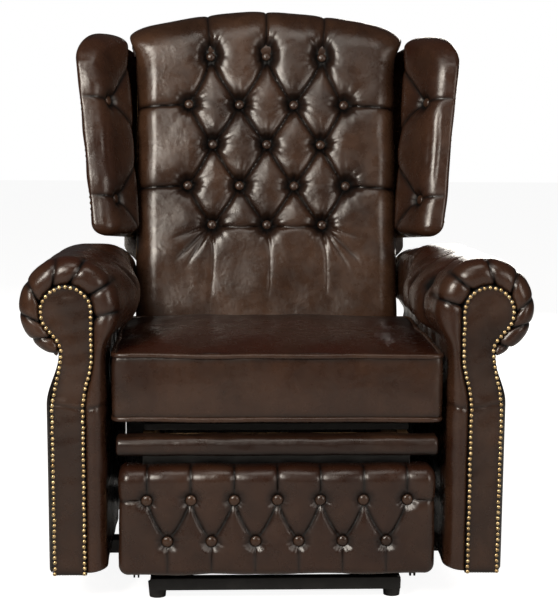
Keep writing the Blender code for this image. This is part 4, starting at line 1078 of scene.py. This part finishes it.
def panel(name, front, behind, painted_shade, rub_and_painted_sheen, leather, painted_shade_behind=0.0, place=None):
    """A closed panel as an object, with the marks of its front grid."""
    points, faces = closed_panel(front, behind)
    extra = np.ones(len(points) - painted_shade.size)
    marks = {"painted_shade": np.concatenate([painted_shade.ravel(), painted_shade_behind * extra]),
             "rub_and_painted_sheen": np.concatenate([rub_and_painted_sheen.ravel(), 0 * extra])}
    return make(name, place(points) if place else points, faces, leather, marks)


def arm_facing(side, sign, leather, brass):
    """The smooth front panel of the arm, and its row of nails."""
    outline, _ = evenly(moved_aside(nail_line(), FACING_EDGE), 0.002)
    crown = np.argmax(outline[:, 1])
    outer = outline[:crown + 1].copy()
    inner = outline[:crown - 1:-1].copy()
    outer[0, 1] = inner[0, 1] = ARM_BOTTOM
    outer, _ = evenly(outer, count=190)
    inner, _ = evenly(inner, count=190)
    flat = ruled(outer, inner, 30)
    gap = gap_to(flat, np.concatenate([outer, inner[::-1], outer[:1]]))
    y = FACING_FRONT + edge_drop(gap, 0.0065)
    y += ripple(flat[..., 0], flat[..., 1], 71 + sign, 0.060, 0.0005)
    seam = flat[..., 1] - (SCROLL[1] - 0.172) - 0.004 * np.sin((flat[..., 0] - SCROLL[0]) * 60)
    y += 0.0016 * np.exp(-(seam / 0.0030) ** 2)
    y += 0.0012 * smooth(seam, 0.0, 0.020) * (1 - smooth(seam, 0.020, 0.09))
    front = np.stack([sign * flat[..., 0], y, flat[..., 1]], axis=-1)
    # Painted shade along the edge, in the seam, in a band just inside the edge and on the panel's sides.
    painted_shade = 0.85 * (1 - smooth(gap, 0.0, 0.0045)) + 0.35 * np.exp(-(seam / 0.0022) ** 2)
    painted_shade += 0.30 * np.exp(-((gap - FACING_EDGE) / 0.005) ** 2)
    obj = panel(f"arm_facing_panel_{side}", front, set_back(front, FACING_BACK), np.clip(painted_shade, 0, 1),
                0.42 * smooth(gap, 0.004, 0.020), leather, painted_shade_behind=0.8)
    belongs(obj, "base", LEATHER, f"arm_facing_{side}")
    line, _ = evenly(nail_line(), NAIL_PITCH)
    wander = np.random.default_rng(81 + sign).normal(0, 0.00035, line.shape)
    spots = [np.array([sign * x, FACING_FRONT + 0.0006, z]) for x, z in line + wander]
    forwards = [np.array([0, -1.0, 0])] * len(spots)
    nails(f"arm_nails_{side}", spots, forwards, "base", brass, f"nail_strip_{side}")


def outside_arm(side, sign, leather):
    """The stretched panel under the roll on the outside of the arm."""
    rows = []
    for y in np.linspace(-0.4112, ARM_ROLL_Y[2] - 0.001, 120):
        centre = np.interp(y, ARM_ROLL_Y, ARM_ROLL_Z)
        radius = np.interp(y, ARM_ROLL_Y, ARM_ROLL_RADIUS)
        top = centre - math.sqrt(radius ** 2 - ARM_LIP ** 2) + 0.004
        hip = eased((0.4210, top - 0.093), (0.3980, top))
        line = np.concatenate([[(OUTSIDE_FOOT_X, ARM_BOTTOM + 0.001)], hip])
        line, _ = evenly(line, count=96)
        rows.append(stood_up(line, y))
    grid = np.stack(rows)
    y, z = grid[..., 1], grid[..., 2]
    gap = np.minimum(np.minimum(y - y.min(), y.max() - y), z - ARM_BOTTOM - 0.001)
    grid[..., 0] -= edge_drop(gap, 0.005) * 0.9
    grid[..., 0] += ripple(y, z, 91 + sign, 0.14, 0.0006) * smooth(gap, 0.0, 0.03)
    front = grid * (sign, 1, 1)
    behind = front.copy()
    behind[..., 0] = sign * (np.maximum(grid[..., 0], 0) - 0.0055 + edge_drop(gap, 0.005) * 0.9)
    # Painted shade along the edges and in a band under the roll.
    painted_shade = 0.7 * (1 - smooth(gap, 0.0, 0.006)) + 0.8 * smooth(z, 0.440, 0.470)
    obj = panel(f"outside_arm_cover_{side}", front, behind, np.clip(painted_shade, 0, 1),
                0.35 * smooth(gap, 0.004, 0.05), leather)
    belongs(obj, "base", LEATHER, f"outside_arm_{side}")


def apron(leather):
    """The padded panel across the rear, between the arms."""
    low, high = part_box("rear_apron")
    first = np.column_stack([np.full(40, low[0] + 0.001), np.linspace(low[2] + 0.001, high[2] - 0.001, 40)])
    second = first * (-1, 1)
    flat = ruled(first, second, 130)
    gap = gap_to(flat, np.concatenate([first, second[::-1], first[:1]]))
    y = high[1] - edge_drop(gap, 0.010) + ripple(flat[..., 0], flat[..., 1], 95, 0.11, 0.0008) - 0.001
    front = np.stack([flat[..., 0], y, flat[..., 1]], axis=-1)
    # Painted shade along the edges.
    obj = panel("rear_apron_cover", front, set_back(front, low[1] + 0.001),
                0.6 * (1 - smooth(gap, 0, 0.008)), 0.35 * smooth(gap, 0.004, 0.04), leather)
    belongs(obj, "base", LEATHER, "rear_apron")


def outside_back(leather, brass):
    """The flat rear of the back, nailed around its upper edge."""
    heights = np.linspace(-0.024, 1.0, 112)
    half = 0.2868 + 0.030 * smooth(heights * 0.740, 0.258, 0.304)
    share = np.linspace(-1, 1, 120)
    x = half[:, None] * share[None]
    top = 0.738 + back_arch(x * BACK_HALF_WIDTH / 0.318)
    z = heights[:, None] * top
    flat = np.stack([x, z], axis=-1)
    outline = np.concatenate([flat[:, 0], flat[-1], flat[::-1, -1], flat[0, ::-1]])
    gap = gap_to(flat, outline)
    y = 0.0618 - edge_drop(gap, 0.008) - 0.0012 + ripple(x, z, 97, 0.17, 0.0007) * smooth(gap, 0, 0.03)
    front = np.stack([x, y, z], axis=-1)
    # Painted shade along the edges.
    obj = panel("outside_back_cover", front, set_back(front, 0.0506), 0.6 * (1 - smooth(gap, 0, 0.007)),
                0.40 * smooth(gap, 0.004, 0.05), leather, place=from_back)
    belongs(obj, "back", LEATHER, "outside_back")
    line, _ = evenly(outline, 0.003)
    start = np.argmin(np.hypot(line[:, 0] + 0.317, line[:, 1] - 0.39))
    end = np.argmin(np.hypot(line[:, 0] - 0.317, line[:, 1] - 0.39))
    edge, _ = evenly(line[start:end + 1], 0.0125)
    inner = moved_aside(edge, 0.011)
    if abs(inner[len(inner) // 2, 1]) > abs(edge[len(edge) // 2, 1]):
        inner = moved_aside(edge, -0.011)
    spots = [from_back(np.array([x_, 0.0603, z_])) for x_, z_ in inner]
    nails("outside_back_nails", spots, [turned((0, 1, 0))] * len(spots), "back", brass)


# ---------------------------------------------------------------- seat
def seat_block(step):
    """The seat cushion before it is filled: a box with softly rounded edges."""
    shape = bmesh.new()
    bmesh.ops.create_cube(shape, size=1.0)
    low = Vector((-SEAT_HALF_WIDTH + 0.004, SEAT_FRONT + 0.007, SEAT_LOW + 0.006))
    high = Vector((SEAT_HALF_WIDTH - 0.004, SEAT_REAR - 0.006, SEAT_TOP - 0.014))
    for vertex in shape.verts:
        vertex.co = Vector((high[i] if vertex.co[i] > 0 else low[i]) for i in range(3))
    bmesh.ops.bevel(shape, geom=shape.edges[:], offset=0.012, segments=3, affect="EDGES", profile=0.5)
    mesh = bpy.data.meshes.new("seat_block")
    shape.to_mesh(mesh)
    shape.free()
    obj = bpy.data.objects.new("seat_block", mesh)
    bpy.context.scene.collection.objects.link(obj)
    remesh = obj.modifiers.new("remesh", "REMESH")
    remesh.mode = "VOXEL"
    remesh.voxel_size = step
    applied = bpy.data.meshes.new_from_object(obj.evaluated_get(bpy.context.evaluated_depsgraph_get()))
    obj.modifiers.clear()
    obj.data = applied
    return obj, low, high


def filled(obj, held, pressure, frames, cap):
    """Blows the cloth up with some points held, and applies it. No point moves further than cap."""
    start = np.array([v.co for v in obj.data.vertices])
    group = obj.vertex_groups.new(name="held")
    for index in np.nonzero(held > 0)[0]:
        group.add([int(index)], float(held[index]), "REPLACE")
    cloth = obj.modifiers.new("cloth", "CLOTH")
    cloth.settings.quality = 5
    cloth.settings.mass = 0.4
    cloth.settings.tension_stiffness = 18
    cloth.settings.compression_stiffness = 18
    cloth.settings.bending_stiffness = 1.2
    cloth.settings.use_pressure = True
    cloth.settings.uniform_pressure_force = pressure
    cloth.settings.vertex_group_mass = "held"
    cloth.settings.effector_weights.gravity = 0
    cloth.collision_settings.use_collision = False
    scene = bpy.context.scene
    cloth.point_cache.frame_start = 1
    cloth.point_cache.frame_end = frames
    for frame_number in range(1, frames + 1):
        scene.frame_set(frame_number)
    shaped = obj.evaluated_get(bpy.context.evaluated_depsgraph_get()).to_mesh()
    end = np.array([v.co for v in shaped.vertices])
    scene.frame_set(1)
    obj.modifiers.clear()
    obj.vertex_groups.clear()
    move = end - start
    far = np.linalg.norm(move, axis=1, keepdims=True)
    move *= np.minimum(1, cap / np.maximum(far, 1e-9))
    return start, start + move


def seat_cushion(leather):
    """A boxed cushion: filled by cloth simulation between its two piped seams."""
    obj, low, high = seat_block(0.006)
    start = np.array([v.co for v in obj.data.vertices])
    seams = []
    for z in (low.z + 0.006, high.z - 0.006):
        side = np.maximum(np.abs(start[:, 0]) - high.x, np.maximum(low.y - start[:, 1], start[:, 1] - high.y))
        near_side = side > -0.0075
        seams.append(np.where(near_side, np.abs(start[:, 2] - z), 1.0))
    seam = np.minimum(*seams)
    held = np.where(seam < 0.0050, 1.0, 0.0)
    start, end = filled(obj, held, 4.0, 20, 0.022)
    end[:, 2] = np.where(start[:, 2] < low.z + 0.004, np.maximum(end[:, 2], SEAT_LOW - 0.002), end[:, 2])
    end[:, 0] = np.clip(end[:, 0], -SEAT_HALF_WIDTH - 0.0015, SEAT_HALF_WIDTH + 0.0015)
    end[:, 1] = np.clip(end[:, 1], SEAT_FRONT - 0.008, SEAT_REAR + 0.004)
    top = smooth(start[:, 2], high.z - 0.010, high.z)
    end[:, 2] += ripple(start[:, 0], start[:, 1], 101, 0.16, 0.0016) * top
    middle = (low.y + high.y) / 2
    bulge = (1 - (start[:, 0] / high.x) ** 2) * (1 - ((start[:, 1] - middle) / (high.y - middle)) ** 4)
    end[:, 2] += SEAT_CROWN * np.clip(bulge, 0, 1) * top
    front = smooth(-start[:, 1], -low.y - 0.01, -low.y)
    end[:, 1] += ripple(start[:, 0], start[:, 2], 103, 0.12, 0.0007) * front
    mesh = obj.data
    mesh.vertices.foreach_set("co", end.astype(np.float32).ravel())
    obj.name = mesh.name = "seat_cushion_cover"
    # Painted shade in the seams and towards the rear of the top. The sides are lighter than the top: rubbed
    # wear and a painted sheen. The top has the red-brown tone with painted shade.
    painted_shade = 0.55 * np.exp(-(seam / 0.007) ** 2)
    rear = smooth(start[:, 1], -0.16, 0.02) * top
    rub_and_painted_sheen = (1 - top) * 0.55 + 0.14 * top
    marks = {"painted_shade": np.clip(painted_shade + 0.5 * rear, 0, 1), "rub_and_painted_sheen": rub_and_painted_sheen, "red_tone_painted_shade": 0.85 * top + 0.12}
    for mark, values in marks.items():
        mesh.attributes.new(mark, "FLOAT", "POINT").data.foreach_set("value", values.astype(np.float32))
    mesh.shade_smooth()
    mesh.materials.clear()
    mesh.materials.append(leather)
    obj.modifiers.new("smooth", "SUBSURF").levels = 1
    obj.modifiers["smooth"].render_levels = 1
    belongs(obj, "seat", LEATHER, "seat_cushion")
    for name, z in (("top", high.z - 0.004), ("bottom", low.z + 0.004)):
        piping(f"seat_piping_{name}", obj, low, high, z, leather)


def piping(name, obj, low, high, z, leather):
    """Piping in the cushion's seam, following its surface."""
    radius = 0.030
    corners = [(0, low.y, 0), (high.x, low.y, radius), (high.x, high.y, radius), (low.x, high.y, radius),
               (low.x, low.y, radius), (0, low.y, 0)]
    path, _ = evenly(rounded_path(corners), 0.004)
    path = path[:-1]
    shape = bmesh.new()
    shape.from_mesh(obj.data)
    tree = BVHTree.FromBMesh(shape)
    points = []
    for x, y in path:
        outward_ = Vector((x / high.x, (y - (low.y + high.y) / 2) / (high.y - low.y) * 2, 0)).normalized()
        spot, _, _, _ = tree.ray_cast(Vector((x, y, z)) + outward_ * 0.06, -outward_)
        points.append((spot or Vector((x, y, z))) + outward_ * 0.0026)
    shape.free()
    line = np.array(points)
    for _ in range(6):
        line = (np.roll(line, 1, axis=0) + 2 * line + np.roll(line, -1, axis=0)) / 4
    line[:, 2] += ripple(line[:, 0], line[:, 1], 111, 0.20, 0.0008)
    spots, faces = tube(line, PIPING_RADIUS, sides=10)
    marks = {"rub_and_painted_sheen": np.full(len(spots), 0.75), "red_tone_painted_shade": np.full(len(spots), 0.15)}
    belongs(make(name, spots, faces, leather, marks), "seat", LEATHER)


def seat_roll(leather):
    """The padded roll under the front of the cushion."""
    low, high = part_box("seat_front_roll")
    low, high = Vector(low), Vector(high)
    step = 0.0026
    across, s = side_run(high.x - 0.001, 0.006, 0.020, step)
    upright = rounded_path([(high.y - 0.004, low.z + 0.001, 0), (low.y, low.z + 0.001, 0.013),
                            (low.y, high.z - 0.001, 0.016), (high.y - 0.002, high.z - 0.001, 0)])
    along, t = evenly(upright, step)
    grid = swept(across, along)
    ss, tt = np.meshgrid(s, t)
    edge = smooth(0.296 - np.abs(ss), -0.01, 0.03)
    made = grid + grid_normals(grid) * (ripple(ss, tt * 3, 121, 0.11, 0.0007) * edge)[..., None]
    # Painted highlight along the top edge; painted shade over the whole roll, more underneath.
    marks = {"rub_and_painted_sheen": 0.35 + 0.5 * smooth(made[..., 2], high.z - 0.010, high.z), "red_tone_painted_shade": np.full_like(ss, 0.25),
             "painted_shade": 0.24 + 0.50 * smooth(-made[..., 2], -low.z - 0.014, -low.z)}
    obj = make("seat_roll_cover", made, closed_sheet(*ss.shape), leather, marks)
    belongs(obj, "seat", LEATHER, "seat_front_roll")
    rail_lining(leather)


def rail_lining(leather):
    """The leather that covers the front rail below the roll."""
    low, high = (Vector(corner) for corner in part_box("seat_rail_front"))
    roll_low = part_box("seat_front_roll")[0][2]
    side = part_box("seat_rail_left")[1][0] + 0.001
    line = evenly([(high.y, low.z - 0.0012), (low.y - 0.0012, low.z - 0.0012),
                   (low.y - 0.0012, roll_low + 0.004)], 0.002)[0]
    xs = np.linspace(side, -side, 180)
    grid = np.stack([np.column_stack([np.full(len(line), x), line[:, 0], line[:, 1]]) for x in xs])
    # Painted shade: the lining is darkened near black.
    marks = {"painted_shade": np.full(grid.shape[:2], 0.75)}
    obj = make("seat_rail_lining", grid, grid_faces(*grid.shape[:2]), leather, marks)
    shell(obj, 0.0010)
    belongs(obj, "seat", LEATHER)


# ---------------------------------------------------------------- footrest
def footrest_folds(cover, low, high):
    pit = FOOTREST_PIT
    upper, uppers = FOOTREST_ROWS[0]
    lower, lowers = FOOTREST_ROWS[1]
    for x in uppers:
        cover.fold((x, upper), (x, high + 0.030), 0.0056, (pit, 0.0034), (0.040, 0.040), line=0.8)
        for other in lowers:
            if abs(x - other) < 0.06:
                cover.fold((x, upper), (other, lower), 0.0088, (pit, pit), (0.038, 0.040),
                           bow=0.0045 * math.copysign(1, x - other), line=0.85)
    for x in lowers:
        cover.fold((x, lower), (x, low - 0.010), 0.0044, (pit, 0.0012), (0.040, 0.040), line=0.6)
    for sign in (-1, 1):
        cover.fold((sign * uppers[-1], upper), (sign * 0.33, upper - 0.004), 0.0042, (pit, 0.003),
                   (0.028, 0.028), line=0.6)
    for row, xs in FOOTREST_ROWS:
        for x in xs:
            cover.button((x, row), pit, reach=0.034, wrinkles=0.0006)


def footrest(leather):
    """The deep-buttoned footrest pad, closed behind, over its board."""
    low, high = (Vector(corner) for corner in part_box("footrest_pad"))
    step = 0.0022
    across, s = side_run(high.x - 0.0005, 0.018, 0.030, step)
    upright = rounded_path([(high.y - 0.001, low.z + 0.001, 0), (low.y, low.z + 0.001, 0.015),
                            (low.y, high.z - 0.001, 0.028), (high.y - 0.001, high.z - 0.001, 0)])
    along, t = evenly(upright, step)
    front = along[:, 0] < low.y + 0.0005
    t = t - t[front][0] + along[front][0, 1]
    grid = swept(across, along)
    ss, tt = np.meshgrid(s, t)
    cover = Tufting(ss, tt, FOOTREST_DEEPEST, seed=41)
    footrest_folds(cover, low.z, high.z)
    weight = (1 - 0.5 * smooth(np.abs(ss), 0.275, 0.305)) * smooth(tt, low.z - 0.020, low.z + 0.02)
    made, pulled = draped(grid, cover, weight)
    made += grid_normals(grid) * ripple(ss, tt, 131, 0.10, 0.0007)[..., None]
    # Red-brown tone with painted shade towards the top; painted shade in the folds and lightly over the whole
    # pad.
    red_tone_painted_shade = 0.25 + 0.30 * smooth(tt, high.z - 0.03, high.z)
    marks = {"painted_shade": np.maximum(cover.painted_shade, 0.10),
             "rub_and_painted_sheen": rubbed(pulled, cover.painted_shade, 0.011) * 0.55, "red_tone_painted_shade": red_tone_painted_shade}
    obj = make("footrest_cover", made, closed_sheet(*ss.shape), leather, marks)
    belongs(obj, "footrest", LEATHER, "footrest_pad")
    places = [(x, row) for row, xs in FOOTREST_ROWS for x in xs]
    spots, _ = spots_on(made, ss, tt, places, 0.0036)
    buttons("footrest_buttons", spots, [np.array([0, -1.0, 0])] * len(spots), "footrest", leather)


# ---------------------------------------------------------------- studio
def light(name, place, aim, size, power, colour=(1, 1, 1)):
    lamp = bpy.data.lights.new(name, "AREA")
    lamp.shape = "RECTANGLE"
    lamp.size, lamp.size_y = size
    lamp.energy = power
    lamp.color = colour
    obj = bpy.data.objects.new(name, lamp)
    bpy.context.scene.collection.objects.link(obj)
    obj.location = place
    obj.rotation_euler = (Vector(aim) - Vector(place)).to_track_quat("-Z", "Y").to_euler()


def studio():
    scene = bpy.context.scene
    scene.view_settings.view_transform = "Standard"
    world = bpy.data.worlds.new("studio")
    scene.world = world
    world.use_nodes = True
    tree = world.node_tree
    seen = tree.nodes["Background"]
    seen.inputs["Color"].default_value = (1, 1, 1, 1)
    seen.inputs["Strength"].default_value = 1.0
    lighting = tree.nodes.new("ShaderNodeBackground")
    lighting.inputs["Color"].default_value = (1, 1, 1, 1)
    lighting.inputs["Strength"].default_value = WORLD_LIGHT
    either = tree.nodes.new("ShaderNodeMixShader")
    tree.links.new(tree.nodes.new("ShaderNodeLightPath").outputs["Is Camera Ray"], either.inputs["Fac"])
    tree.links.new(lighting.outputs["Background"], either.inputs[1])
    tree.links.new(seen.outputs["Background"], either.inputs[2])
    tree.links.new(either.outputs["Shader"], tree.nodes["World Output"].inputs["Surface"])
    light("key", (-1.5, -2.9, 2.2), (0, -0.2, 0.55), (1.1, 1.3), 118, (1.0, 0.93, 0.83))
    light("fill", (2.1, -2.6, 1.4), (0, -0.2, 0.55), (1.1, 1.6), 30, (1.0, 0.92, 0.83))
    light("over", (0.1, -1.3, 2.4), (0, -0.2, 0.5), (1.2, 0.7), 9, (1.0, 0.94, 0.86))
    light("rear", (1.3, 3.2, 1.5), (0, 0.2, 0.5), (1.6, 1.4), 55, (1.0, 0.95, 0.88))
    far = 15
    corners = [(-far, -far, 0), (far, -far, 0), (far, far, 0), (-far, far, 0)]
    floor = make("floor", corners, [[0, 1, 2, 3]], floor_finish())


def camera():
    lens = bpy.data.cameras.new("camera")
    lens.lens = 94.1
    obj = bpy.data.objects.new("camera", lens)
    bpy.context.scene.collection.objects.link(obj)
    turn = (Matrix.Rotation(math.radians(-2.62), 4, "Z") @ Matrix.Rotation(math.radians(82.75), 4, "X")
            @ Matrix.Rotation(math.radians(0.39), 4, "Z"))
    obj.matrix_world = Matrix.Translation((-0.128, -3.23, 0.932)) @ turn
    bpy.context.scene.camera = obj


# ---------------------------------------------------------------- all of it
for stray in list(bpy.data.objects):
    bpy.data.objects.remove(stray, do_unlink=True)
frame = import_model()
joints = frame["record"]["behaviour"]["joints"]
HINGE = Vector(next(joint["pos_m"] for joint in joints if joint["name"] == "back_recline"))

leather = leather_finish()
brass = brass_finish()
finishes = {LEATHER: leather, BRASS: brass, "beech": beech_finish(), "black_steel": steel_finish(),
            "black_plastic": plastic_finish(), "black_platform_cloth": cloth_finish()}
for node in frame["nodes"].values():
    for place in node.material_slots:
        place.material = finishes[place.material.name]

back_cover(leather)
outside_back(leather, brass)
PLEATS = {"right": (-71, -41, -5, 32, 72, 104, 148, 187), "left": (-57, -18, 14, 50, 86, 132, 168)}
TUFTS = {"right": ((-0.215, 156), (-0.040, 162)), "left": ((-0.330, 153), (-0.205, 156), (-0.030, 163))}
for side, sign in SIDES:
    wing(side, sign, leather, brass)
    arm_cover(side, sign, leather, PLEATS[side], TUFTS[side])
    arm_facing(side, sign, leather, brass)
    outside_arm(side, sign, leather)
    arm_rear(side, sign, leather)
apron(leather)
seat_cushion(leather)
seat_roll(leather)
footrest(leather)
studio()
camera()
